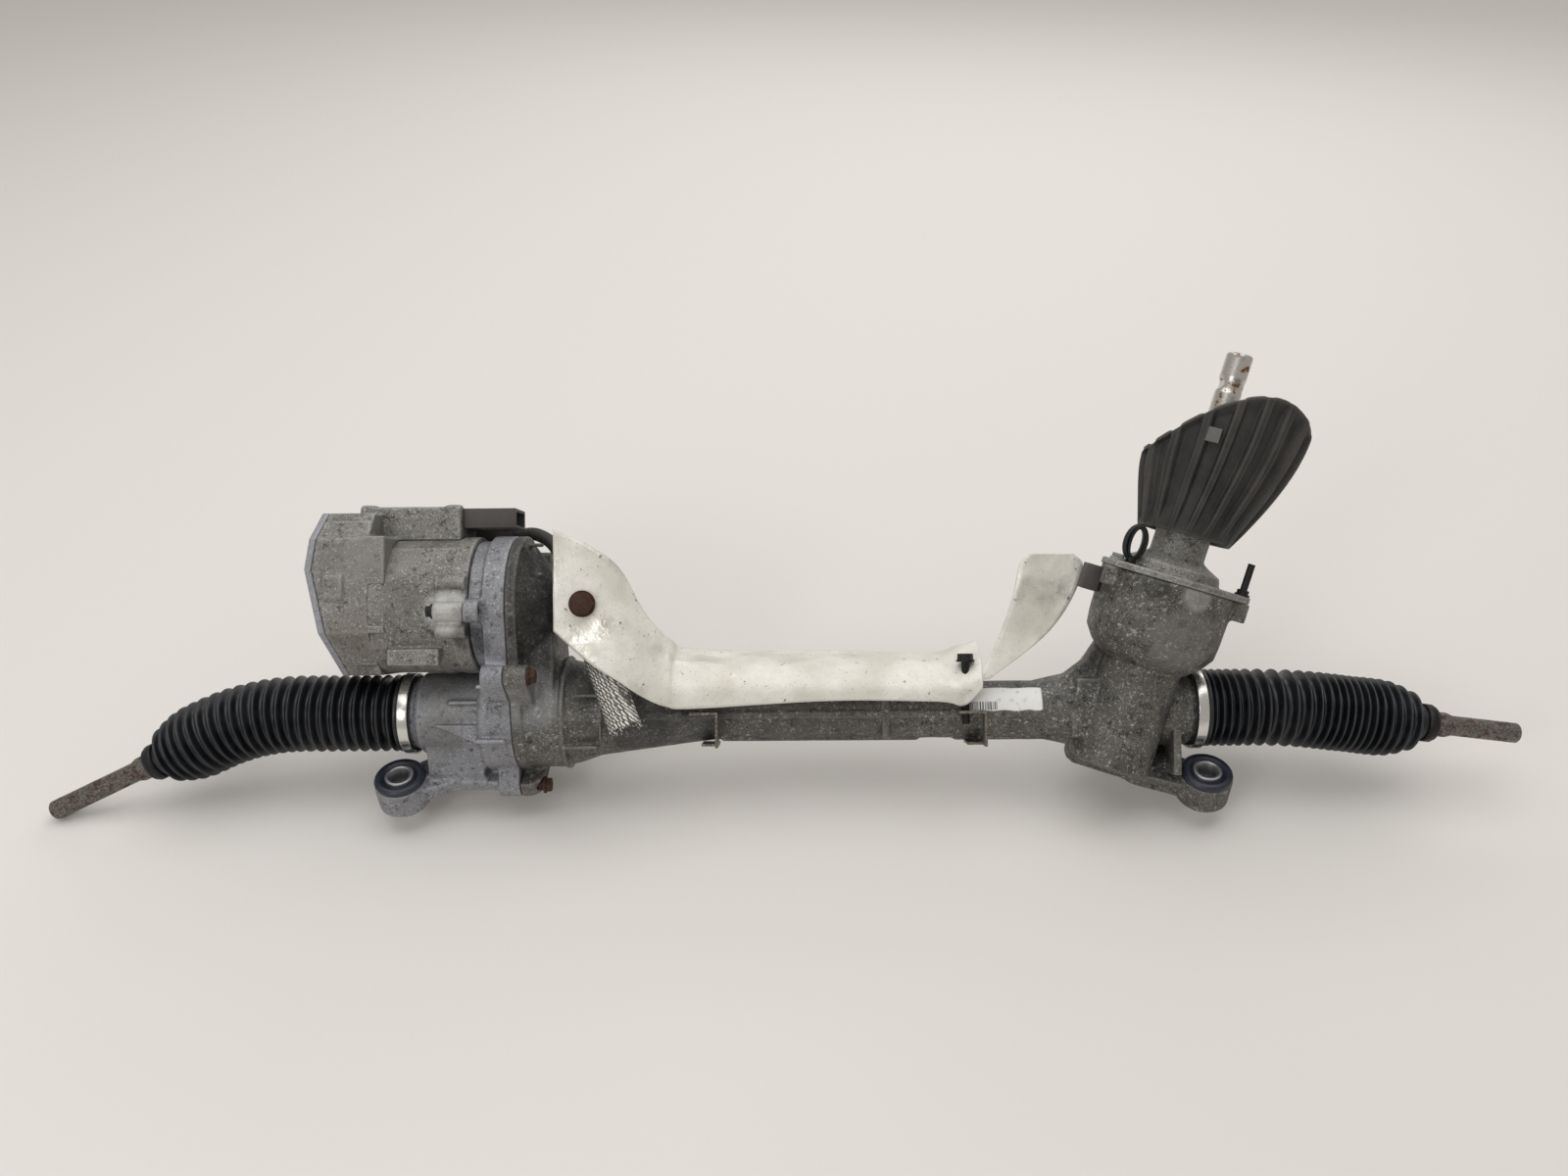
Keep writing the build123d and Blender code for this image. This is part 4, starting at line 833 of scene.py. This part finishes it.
class RACK_OT_bell_cover(bpy.types.Operator):
    """Makes the fluted bell cover round the input shaft"""
    bl_idname = "rack.bell_cover"
    bl_label = "Bell cover"

    def execute(self, context):
        flutes = context.scene.rack_sizes.flutes
        low = BELL_LOW
        rings = []
        for row in range(BELL_ROWS + 1):
            height = row / BELL_ROWS
            ring = []
            for n in range(BELL_ROUND):
                turn = 2 * math.pi * n / BELL_ROUND
                radius, offset = bell_radius(turn, height)
                rib = max(0.0, math.cos(flutes * turn + 0.6 * math.sin(turn) + 0.5 * height))
                rib = min(1.0, rib * 1.5) ** 2
                fade = min(1.0, height * 5) * min(1.0, (1 - height) * 11 + 0.1)
                radius = radius - 0.2 - FLUTE_DEPTH * (1 - rib) * fade
                side = radius * math.cos(turn)
                top = BELL_TOP + 0.27 * side - 0.0078 * side * side - 0.25 * radius * math.sin(turn)
                ring.append(pinion(offset + radius * math.cos(turn), radius * math.sin(turn),
                                   low + (top - low - 3) * height))
            rings.append(ring)
        mesh = bmesh.new()
        skin(mesh, rings)
        piece = finish_mesh("bell_shell", mesh, MATERIALS["bell"], "housing")
        thickened(piece, "wall", BELL_WALL, -1)
        applied(piece)
        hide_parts("bell_cover")
        mesh = bmesh.new()
        rings = []
        for n in range(7):
            turn = math.radians(233 + 14 * n / 6)
            inner, offset = bell_radius(turn, 0.76)
            outer, _ = bell_radius(turn, 0.84)
            corners = [(inner - 5.5, 204), (inner - 0.8, 204), (outer - 0.8, 214), (outer - 5.5, 214)]
            rings.append([pinion(offset + r * math.cos(turn), r * math.sin(turn), z) for r, z in corners])
        skin(mesh, rings, caps=True)
        pad = finish_mesh("bell_pad", mesh, MATERIALS["pad"], "housing", smooth=False)
        return {"FINISHED"}


# ---------------------------------------------------------------- boots
def boot_frame(side, a, b, c):
    """Point in metres from mm outward along the rack, up and out of the pinion's leaned plane."""
    return leaned(PINION_LEAN, side * a, b, c)


def boot_line(side):
    """Centreline of a boot: function of length giving place and heading, and its whole length."""
    start, grip = BEND_START[side], CLIP_REACH[side]
    ball = BALL_HALF - RACK_OFFSET * side
    angle = math.radians(ROD_DROOP[side])
    run = ball - start
    bend = run * math.tan(angle) / (math.sin(angle) * math.tan(angle) - (1 - math.cos(angle)))
    straight = start - BOOT_START
    arc = bend * angle
    end = (start + bend * math.sin(angle), -bend * (1 - math.cos(angle)))
    rest = grip + 5.5 + math.hypot(end[0] - ball, end[1]) * (-1 if end[0] > ball else 1)

    def at(s):
        if s < straight:
            return (BOOT_START + s, 0.0), 0.0
        if s < straight + arc:
            turn = (s - straight) / bend
            return (start + bend * math.sin(turn), -bend * (1 - math.cos(turn))), turn
        left = s - straight - arc
        return (end[0] + left * math.cos(angle), end[1] - left * math.sin(angle)), angle

    return at, straight + arc + rest


def boot_profile(side, s, length, rings, depth):
    """Outer radius of the bellows at a length along it."""
    if s < BOOT_CUFF:
        return BOOT_R - (0.9 if 0.8 < s < 9.6 else 0.0)
    if s > length - BOOT_NECK:
        return BOOT_NECK_R
    share = (s - BOOT_CUFF) / (length - BOOT_NECK - BOOT_CUFF)
    taper = min(1.0, (length - BOOT_NECK - s) / 32.0)
    envelope = BOOT_TAPER_R + (BOOT_R - BOOT_TAPER_R) * math.sin(taper * math.pi / 2)
    if side > 0:
        share = share + 0.035 * math.sin(2 * math.pi * share * 1.5)
    wave = 0.5 - 0.5 * math.cos(2 * math.pi * rings * share)
    return envelope - depth * (1 - wave ** 1.6)


class RACK_OT_boots(bpy.types.Operator):
    """Makes both bellows boots, whose far ends follow the tie rods"""
    bl_idname = "rack.boots"
    bl_label = "Boots"

    def execute(self, context):
        sizes = context.scene.rack_sizes
        for side, word in SIDES:
            at, length = boot_line(side)
            steps = sizes.boot_rings * BOOT_STEPS
            rings, shares = [], []
            for n in range(steps + 1):
                s = length * n / steps
                (a, b), turn = at(s)
                radius = boot_profile(side, s, length, sizes.boot_rings, sizes.boot_depth)
                ring = []
                for k in range(BOOT_ROUND):
                    t = 2 * math.pi * k / BOOT_ROUND
                    up, out = radius * math.cos(t), radius * math.sin(t)
                    ring.append(boot_frame(side, a + up * math.sin(turn), b + up * math.cos(turn), out))
                rings.append(ring)
                shares.append(min(1.0, max(0.0, (s - 13) / (length - 26))))
            mesh = bmesh.new()
            skin(mesh, rings)
            piece = finish_mesh("bellows_" + word, mesh, MATERIALS["boot"], "housing")
            group = piece.vertex_groups.new(name="rod")
            for n, share in enumerate(shares):
                group.add(list(range(n * BOOT_ROUND, n * BOOT_ROUND + BOOT_ROUND)), share, "REPLACE")
            thickened(piece, "wall", BOOT_WALL, -1)
            hook = bpy.data.objects.new("bellows_end_" + word, None)
            context.scene.collection.objects.link(hook)
            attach(hook, "rod_" + word)
            follow = piece.modifiers.new("rod", "HOOK")
            follow.object = hook
            follow.vertex_group = "rod"
            follow.falloff_type = "NONE"
            follow.matrix_inverse = Matrix.Identity(4)
            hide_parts("boot_" + word)
        return {"FINISHED"}


# ---------------------------------------------------------------- clamps, rods, mounts
def rod_place(side):
    """Place function along a tie rod: z out from the ball's centre."""
    droop = math.radians(ROD_DROOP[side])
    ball = BALL_HALF - RACK_OFFSET * side

    def place(a, b, h):
        return boot_frame(side, ball + h * math.cos(droop) + a * math.sin(droop),
                          -h * math.sin(droop) + a * math.cos(droop), b)

    return place


class RACK_OT_clamps(bpy.types.Operator):
    """Makes the bright band clamps and the spring clips of the boots"""
    bl_idname = "rack.clamps"
    bl_label = "Boot clamps"

    def execute(self, context):
        for side, word in SIDES:
            low = HOUSING_HALF - 9.5

            def place(a, b, h, side=side):
                return boot_frame(side, h, a, b)

            mesh = bmesh.new()
            lathe_ring(mesh, place, [
                (29.5, low), (31.0, low), (31.1, low + 0.5), (31.1, low + 7),
                (31.0, low + BAND_WIDTH), (29.5, low + BAND_WIDTH),
            ], 96)
            turn = math.radians(35)
            for shift in (-2.6, 1.2):
                ear = [(29.6, shift), (35.5, shift), (35.5, shift + 1.4), (29.6, shift + 1.4)]
                corners = [
                    (-r * math.cos(turn) + t * math.sin(turn), -r * math.sin(turn) - t * math.cos(turn))
                    for r, t in ear
                ]
                prism(mesh, place, corners, low, low + BAND_WIDTH)
            band = finish_mesh("band_clamp_" + word, mesh, MATERIALS["clamp"], "housing")
            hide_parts("boot_clamp_" + word)
            grip = CLIP_REACH[side]
            mesh = bmesh.new()
            lathe_ring(mesh, rod_place(side), [
                (13.3, grip - 3), (14.4, grip - 3), (14.4, grip + 3), (13.3, grip + 3),
            ], 64)
            clip = finish_mesh("spring_clip_" + word, mesh, MATERIALS["black_bolt"], "rod_" + word)
            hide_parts("boot_clip_" + word)
        return {"FINISHED"}


class RACK_OT_tie_rods(bpy.types.Operator):
    """Makes the inner tie rods with their collars and worn ends"""
    bl_idname = "rack.tie_rods"
    bl_label = "Tie rods"

    def execute(self, context):
        for side, word in SIDES:
            shoulder = ROD_SHOULDER[side]
            ball = [(14 * math.sin(t), -14 * math.cos(t)) for t in (0.05 + 2.6 * n / 16 for n in range(17))]
            profile = ball + [
                (6.5, 13.5), (6.5, 22), (9.4, 32), (9.4, shoulder), (9.4, shoulder + 3), (7.6, shoulder + 8),
                (7.6, ROD_END - 1.5), (6.1, ROD_END),
            ]
            mesh = bmesh.new()
            lathe(mesh, rod_place(side), profile)
            rod = finish_mesh("inner_rod_" + word, mesh, MATERIALS["rod"], "rod_" + word)
            bevelled(rod, 0.6)
            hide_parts("tie_rod_" + word)
        return {"FINISHED"}


class RACK_OT_mounts(bpy.types.Operator):
    """Makes the rubber bushes and steel sleeves of the two mounts"""
    bl_idname = "rack.mounts"
    bl_label = "Mounts"

    def execute(self, context):
        for side, word in SIDES:
            def place(a, b, h, side=side):
                return Vector((side * MOUNT_HALF + a, b, h)) * MM

            mesh = bmesh.new()
            lathe_ring(mesh, place, [
                (11.02, 2), (15.98, 2), (15.98, 23.6), (18.4, 23.6), (19.0, 24.6), (19.1, 25.6), (18.6, 27),
                (17.2, 28.1), (15.0, 28.5), (13.4, 28.2), (12.4, 27.2), (11.02, 27.0),
            ], 96)
            bush = finish_mesh("rubber_bush_" + word, mesh, MATERIALS["bush"], "housing")
            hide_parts("mount_bush_" + word)
            mesh = bmesh.new()
            lathe_ring(mesh, place, [
                (7.25, 0.5), (7.75, 0), (10.5, 0), (11, 0.5), (11, 28.3), (10.4, 29), (8.1, 29), (7.25, 28.2),
            ], 96)
            sleeve = finish_mesh("steel_sleeve_" + word, mesh, MATERIALS["sleeve"], "housing")
            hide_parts("mount_sleeve_" + word)
        return {"FINISHED"}


class RACK_OT_input_shaft(bpy.types.Operator):
    """Re-makes the input shaft, with its flat and clamp groove, with softened edges"""
    bl_idname = "rack.input_shaft"
    bl_label = "Input shaft"

    def execute(self, context):
        mesh = bmesh.new()
        mesh.from_mesh(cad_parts["input_shaft"].data)
        piece = finish_mesh("column_shaft", mesh, MATERIALS["shaft"], "column")
        softened(piece, 0.6, 6)
        shade_smooth(piece)
        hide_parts("input_shaft")
        return {"FINISHED"}


# ---------------------------------------------------------------- harness
CONDUIT_ROUTE = [
    (-225.3, 138, -27), (-208, 138, -25), (-190, 128, -4), (-179, 112, 22), (-177, 92, 36.5),
    (-172, 70, 34), (-156.1, 58.8, 27.3), (-151.35, 46.9, 29.8),
]


def frame_along(places, k):
    """Two unit vectors square to a path at one of its points."""
    ahead = places[min(k + 1, len(places) - 1)] - places[max(k - 1, 0)]
    heading = ahead.normalized()
    side = heading.cross(Vector((0.2, 0.3, 1))).normalized()
    return side, heading.cross(side)


class RACK_OT_conduit(bpy.types.Operator):
    """Makes the ribbed harness conduit from the signal plug to the foil sleeve"""
    bl_idname = "rack.conduit"
    bl_label = "Harness conduit"

    def execute(self, context):
        places = [drive(*point) for point in smooth_row(CONDUIT_ROUTE, CONDUIT_STEPS)]
        rings = []
        for k, centre in enumerate(places):
            side, up = frame_along(places, k)
            radius = (CONDUIT_R + CONDUIT_RIB * math.sin(2 * math.pi * k / 5)) * MM
            turns = [2 * math.pi * n / CONDUIT_ROUND for n in range(CONDUIT_ROUND)]
            rings.append([centre + side * radius * math.cos(t) + up * radius * math.sin(t) for t in turns])
        mesh = bmesh.new()
        skin(mesh, rings, caps=True)
        piece = finish_mesh("ribbed_conduit", mesh, MATERIALS["conduit"], "housing")
        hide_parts("harness_conduit")
        return {"FINISHED"}


class RACK_OT_heat_sleeve(bpy.types.Operator):
    """Makes the flattened foil sleeve with its frayed open end"""
    bl_idname = "rack.heat_sleeve"
    bl_label = "Heat sleeve"

    def execute(self, context):
        high, low = Vector((-151, 46, 30)), Vector((-129, -9, 41.5))
        heading = (low - high).normalized()
        across = Vector((1, 0.4, 0))
        across = (across - heading * across.dot(heading)).normalized()
        out = heading.cross(across)
        rings = []
        last = SLEEVE_ROWS - 1
        for row in range(SLEEVE_ROWS):
            run = row / last
            ring = []
            for n in range(SLEEVE_ROUND):
                t = 2 * math.pi * n / SLEEVE_ROUND
                wide, deep = 11.6 + 0.9 * run, 6.2 - 0.4 * math.sin(run * 9)
                place = high.lerp(low, run) + across * wide * math.cos(t) + out * deep * math.sin(t)
                ragged = 0.9 * math.sin(5 * t) if row == last else 0
                place += out * 0.5 * noise.noise(place * 0.25) + heading * ragged
                ring.append(drive(*place))
            rings.append(ring)
        mesh = bmesh.new()
        skin(mesh, rings)
        piece = finish_mesh("foil_sleeve", mesh, MATERIALS["foil"], "housing")
        thickened(piece, "wall", 0.6, -1)
        applied(piece)
        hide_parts("heat_sleeve")
        chance = random.Random(4)
        strands = bpy.data.curves.new("loose_strands", "CURVE")
        strands.dimensions = "3D"
        strands.bevel_depth = 0.22 * MM
        for _ in range(STRANDS):
            t = chance.uniform(0, 2 * math.pi)
            root = low + across * 11.5 * math.cos(t) + out * 5.4 * math.sin(t) - heading * 2
            drift = heading * chance.uniform(2, 7.5) + across * chance.uniform(-4, 4)
            drift = drift + out * chance.uniform(-1.5, 1.5)
            line = strands.splines.new("NURBS")
            line.points.add(2)
            middle = root + drift * 0.5 + across * chance.uniform(-1, 1)
            for point, where in zip(line.points, (root, middle, root + drift)):
                point.co = (*drive(*where), 1)
            line.order_u = 3
            line.use_endpoint_u = True
        frayed = bpy.data.objects.new("loose_strands", strands)
        context.scene.collection.objects.link(frayed)
        strands.materials.append(MATERIALS["foil"])
        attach(frayed, "housing")
        return {"FINISHED"}


# ---------------------------------------------------------------- small pieces
class RACK_OT_brackets(bpy.types.Operator):
    """Rounds the brackets, bolts, plugs and covers, sets their finishes and adds the clip's ring"""
    bl_idname = "rack.brackets"
    bl_label = "Shield brackets"

    def execute(self, context):
        for node, material, width in (
            ("bracket_left", "bracket", 0.5), ("bracket_right", "bracket", 0.5),
            ("shield_bolt", "bolt", 0.7), ("shield_screw", "black_bolt", 0.4),
            ("housing_bolts", "bolt", 0.6), ("motor_bolts", "black_bolt", 0.5),
            ("cover_screws", "motor", 0.5), ("flange_stud", "black_bolt", 0.3),
            ("cable_clip", "black_bolt", 0.3), ("power_connector", "plug", 0.6),
            ("signal_plug", "plug", 0.6), ("sensor_connector", "plug", 0.8), ("ecu_cover", "end", 0.8),
        ):
            mesh = bmesh.new()
            mesh.from_mesh(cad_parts[node].data)
            bmesh.ops.remove_doubles(mesh, verts=mesh.verts, dist=1e-6)
            bmesh.ops.dissolve_limit(mesh, angle_limit=math.radians(2), verts=mesh.verts, edges=mesh.edges)
            piece = finish_mesh(node + "_piece", mesh, MATERIALS[material], "housing")
            bevelled(piece, width)
            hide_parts(node)
        mesh = bmesh.new()
        rings = []
        for n in range(49):
            t = 2 * math.pi * n / 48
            middle, outward = (-37 + 7 * math.cos(t), 122.5 + 12 * math.sin(t)), (math.cos(t), math.sin(t))
            rings.append([
                pinion(middle[0] + outward[0] * 2.0 * math.cos(a), -18 + 2.6 * math.sin(a),
                       middle[1] + outward[1] * 2.0 * math.cos(a))
                for a in (2 * math.pi * k / 16 for k in range(16))
            ])
        skin(mesh, rings)
        bmesh.ops.remove_doubles(mesh, verts=mesh.verts, dist=1e-6)
        ring = finish_mesh("clip_ring", mesh, MATERIALS["seal"], "housing")
        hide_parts("cable_clip")
        return {"FINISHED"}


class RACK_OT_label(bpy.types.Operator):
    """Makes the paper sticker on the tube, bent over it and lifting at its edges"""
    bl_idname = "rack.label"
    bl_label = "Label"

    def execute(self, context):
        mesh = bmesh.new()
        layer = mesh.loops.layers.uv.new("label")
        rows, places = [], {}
        for i in range(LABEL_COLUMNS + 1):
            row = []
            for j in range(LABEL_ROWS + 1):
                s, t = i / LABEL_COLUMNS, j / LABEL_ROWS
                x = LABEL_X + LABEL_LENGTH * s
                angle = math.radians(LABEL_START + LABEL_SWEEP * t)
                lift = LABEL_R + 0.35 * math.sin(s * 21) * (1 - t) ** 3 + 0.3 * math.sin(s * 15 + 1) * t ** 4
                vertex = mesh.verts.new(drive(x, lift * math.sin(angle), lift * math.cos(angle)))
                places[vertex] = (s, t)
                row.append(vertex)
            rows.append(row)
        for low, high in zip(rows, rows[1:]):
            for n in range(LABEL_ROWS):
                face = mesh.faces.new((low[n], high[n], high[n + 1], low[n + 1]))
                for loop in face.loops:
                    loop[layer].uv = places[loop.vert]
        piece = finish_mesh("label_sheet", mesh, MATERIALS["paper"], "housing")
        thickened(piece, "paper", 0.25, 1)
        applied(piece)
        return {"FINISHED"}


class RACK_OT_carried_nodes(bpy.types.Operator):
    """Gives the inner pieces their finishes"""
    bl_idname = "rack.carried_nodes"
    bl_label = "Inner pieces"

    def execute(self, context):
        for finish, nodes in CARRIED.items():
            for node in nodes:
                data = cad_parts[node].data
                data.materials.clear()
                data.materials.append(MATERIALS[finish])
        return {"FINISHED"}


# ---------------------------------------------------------------- stage
def camera_axes(yaw, pitch, roll):
    """Rotation matrix of a camera from its yaw, its pitch below the horizon and its roll, in degrees."""
    yaw, pitch, roll = (math.radians(v) for v in (yaw, pitch, roll))
    ahead = Vector((math.sin(yaw) * math.cos(pitch), math.cos(yaw) * math.cos(pitch), -math.sin(pitch)))
    right = ahead.cross(Vector((0, 0, 1))).normalized()
    up = right.cross(ahead)
    turned_right = right * math.cos(roll) + up * math.sin(roll)
    turned_up = up * math.cos(roll) - right * math.sin(roll)
    return Matrix((turned_right, turned_up, -ahead)).transposed().to_4x4()


def lamp(name, place, target, size, power, colour="#FFFFFF"):
    """Soft rectangular lamp aimed at a place, in metres."""
    light = bpy.data.lights.new(name, "AREA")
    light.shape = "RECTANGLE"
    light.size, light.size_y = size
    light.energy = power
    light.color = linear(colour)[:3]
    lit = bpy.data.objects.new(name, light)
    bpy.context.scene.collection.objects.link(lit)
    lit.location = place
    lit.rotation_euler = (Vector(target) - Vector(place)).to_track_quat("-Z", "Y").to_euler()


class RACK_OT_stage(bpy.types.Operator):
    """Lays the pale floor, hangs the soft lamps and sets the camera"""
    bl_idname = "rack.stage"
    bl_label = "Stage"

    def execute(self, context):
        scene = context.scene
        data = bpy.data.cameras.new("camera")
        data.lens = CAMERA_LENS
        data.sensor_width = 36
        data.clip_end = 50
        camera = bpy.data.objects.new("camera", data)
        scene.collection.objects.link(camera)
        camera.matrix_world = Matrix.Translation(Vector(CAMERA_PLACE) * MM) @ camera_axes(*CAMERA_TURN)
        scene.camera = camera
        mesh = bmesh.new()
        size = FLOOR_HALF
        low = CAD_BOX[0][2] - FLOOR_GAP * MM
        corners = ((-size, -size, low), (size, -size, low), (size, size, low), (-size, size, low))
        mesh.faces.new([mesh.verts.new(corner) for corner in corners])
        floor_data = bpy.data.meshes.new("floor")
        mesh.to_mesh(floor_data)
        mesh.free()
        floor = bpy.data.objects.new("floor", floor_data)
        scene.collection.objects.link(floor)
        floor_data.materials.append(floor_paint(tuple(scene.rack_colours.floor) + (1.0,)))
        world = bpy.data.worlds.new("studio")
        world.use_nodes = True
        background = world.node_tree.nodes["Background"]
        background.inputs["Color"].default_value = linear("#F6F2EC")
        background.inputs["Strength"].default_value = 0.5
        scene.world = world
        power = scene.rack_sizes.lamp_power
        lamp("overhead", (-0.1, 0.5, 2.6), (0, 0.3, 0), (3.4, 2.6), power * 3.5)
        lamp("front", (-0.9, -1.3, 1.1), (0, 0.05, 0.05), (0.5, 0.5), power * 0.42)
        lamp("back", (0.6, 2.2, 1.3), (0, 0.05, 0.1), (2.4, 0.6), power * 0.7)
        scene.view_settings.view_transform = "Standard"
        return {"FINISHED"}


def floor_paint(colour):
    """Matt painted board, almost even, so the soft shadow shows."""
    def build(tree, coords):
        return {"Base Color": colour, "Roughness": 0.9, "Specular IOR Level": 0.1}
    return material_with("matt floor board", build)


# ---------------------------------------------------------------- panel and run
OPERATORS = [
    RACK_OT_stage, RACK_OT_castings, RACK_OT_heat_shield, RACK_OT_bell_cover, RACK_OT_boots, RACK_OT_clamps,
    RACK_OT_tie_rods, RACK_OT_mounts, RACK_OT_input_shaft, RACK_OT_conduit, RACK_OT_heat_sleeve,
    RACK_OT_brackets, RACK_OT_label, RACK_OT_carried_nodes,
]


class RACK_PT_panel(bpy.types.Panel):
    """Lists the pieces of the steering rack"""
    bl_idname = "RACK_PT_panel"
    bl_label = "Steering Rack"
    bl_space_type = "VIEW_3D"
    bl_region_type = "UI"
    bl_category = "Steering Rack"

    def draw(self, context):
        for group in (context.scene.rack_sizes, context.scene.rack_colours):
            for name in group.__annotations__:
                self.layout.prop(group, name)
        for operator in OPERATORS:
            self.layout.operator(operator.bl_idname)


CLASSES = [RackSizes, RackColours, *OPERATORS, RACK_PT_panel]


def register():
    for kind in CLASSES:
        bpy.utils.register_class(kind)
    bpy.types.Scene.rack_sizes = PointerProperty(type=RackSizes)
    bpy.types.Scene.rack_colours = PointerProperty(type=RackColours)


def unregister():
    del bpy.types.Scene.rack_colours
    del bpy.types.Scene.rack_sizes
    for kind in reversed(CLASSES):
        bpy.utils.unregister_class(kind)


def main():
    register()
    make_materials()
    for operator in OPERATORS:
        group, name = operator.bl_idname.split(".")
        getattr(getattr(bpy.ops, group), name)()
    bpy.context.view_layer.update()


if __name__ == "__main__":
    main()
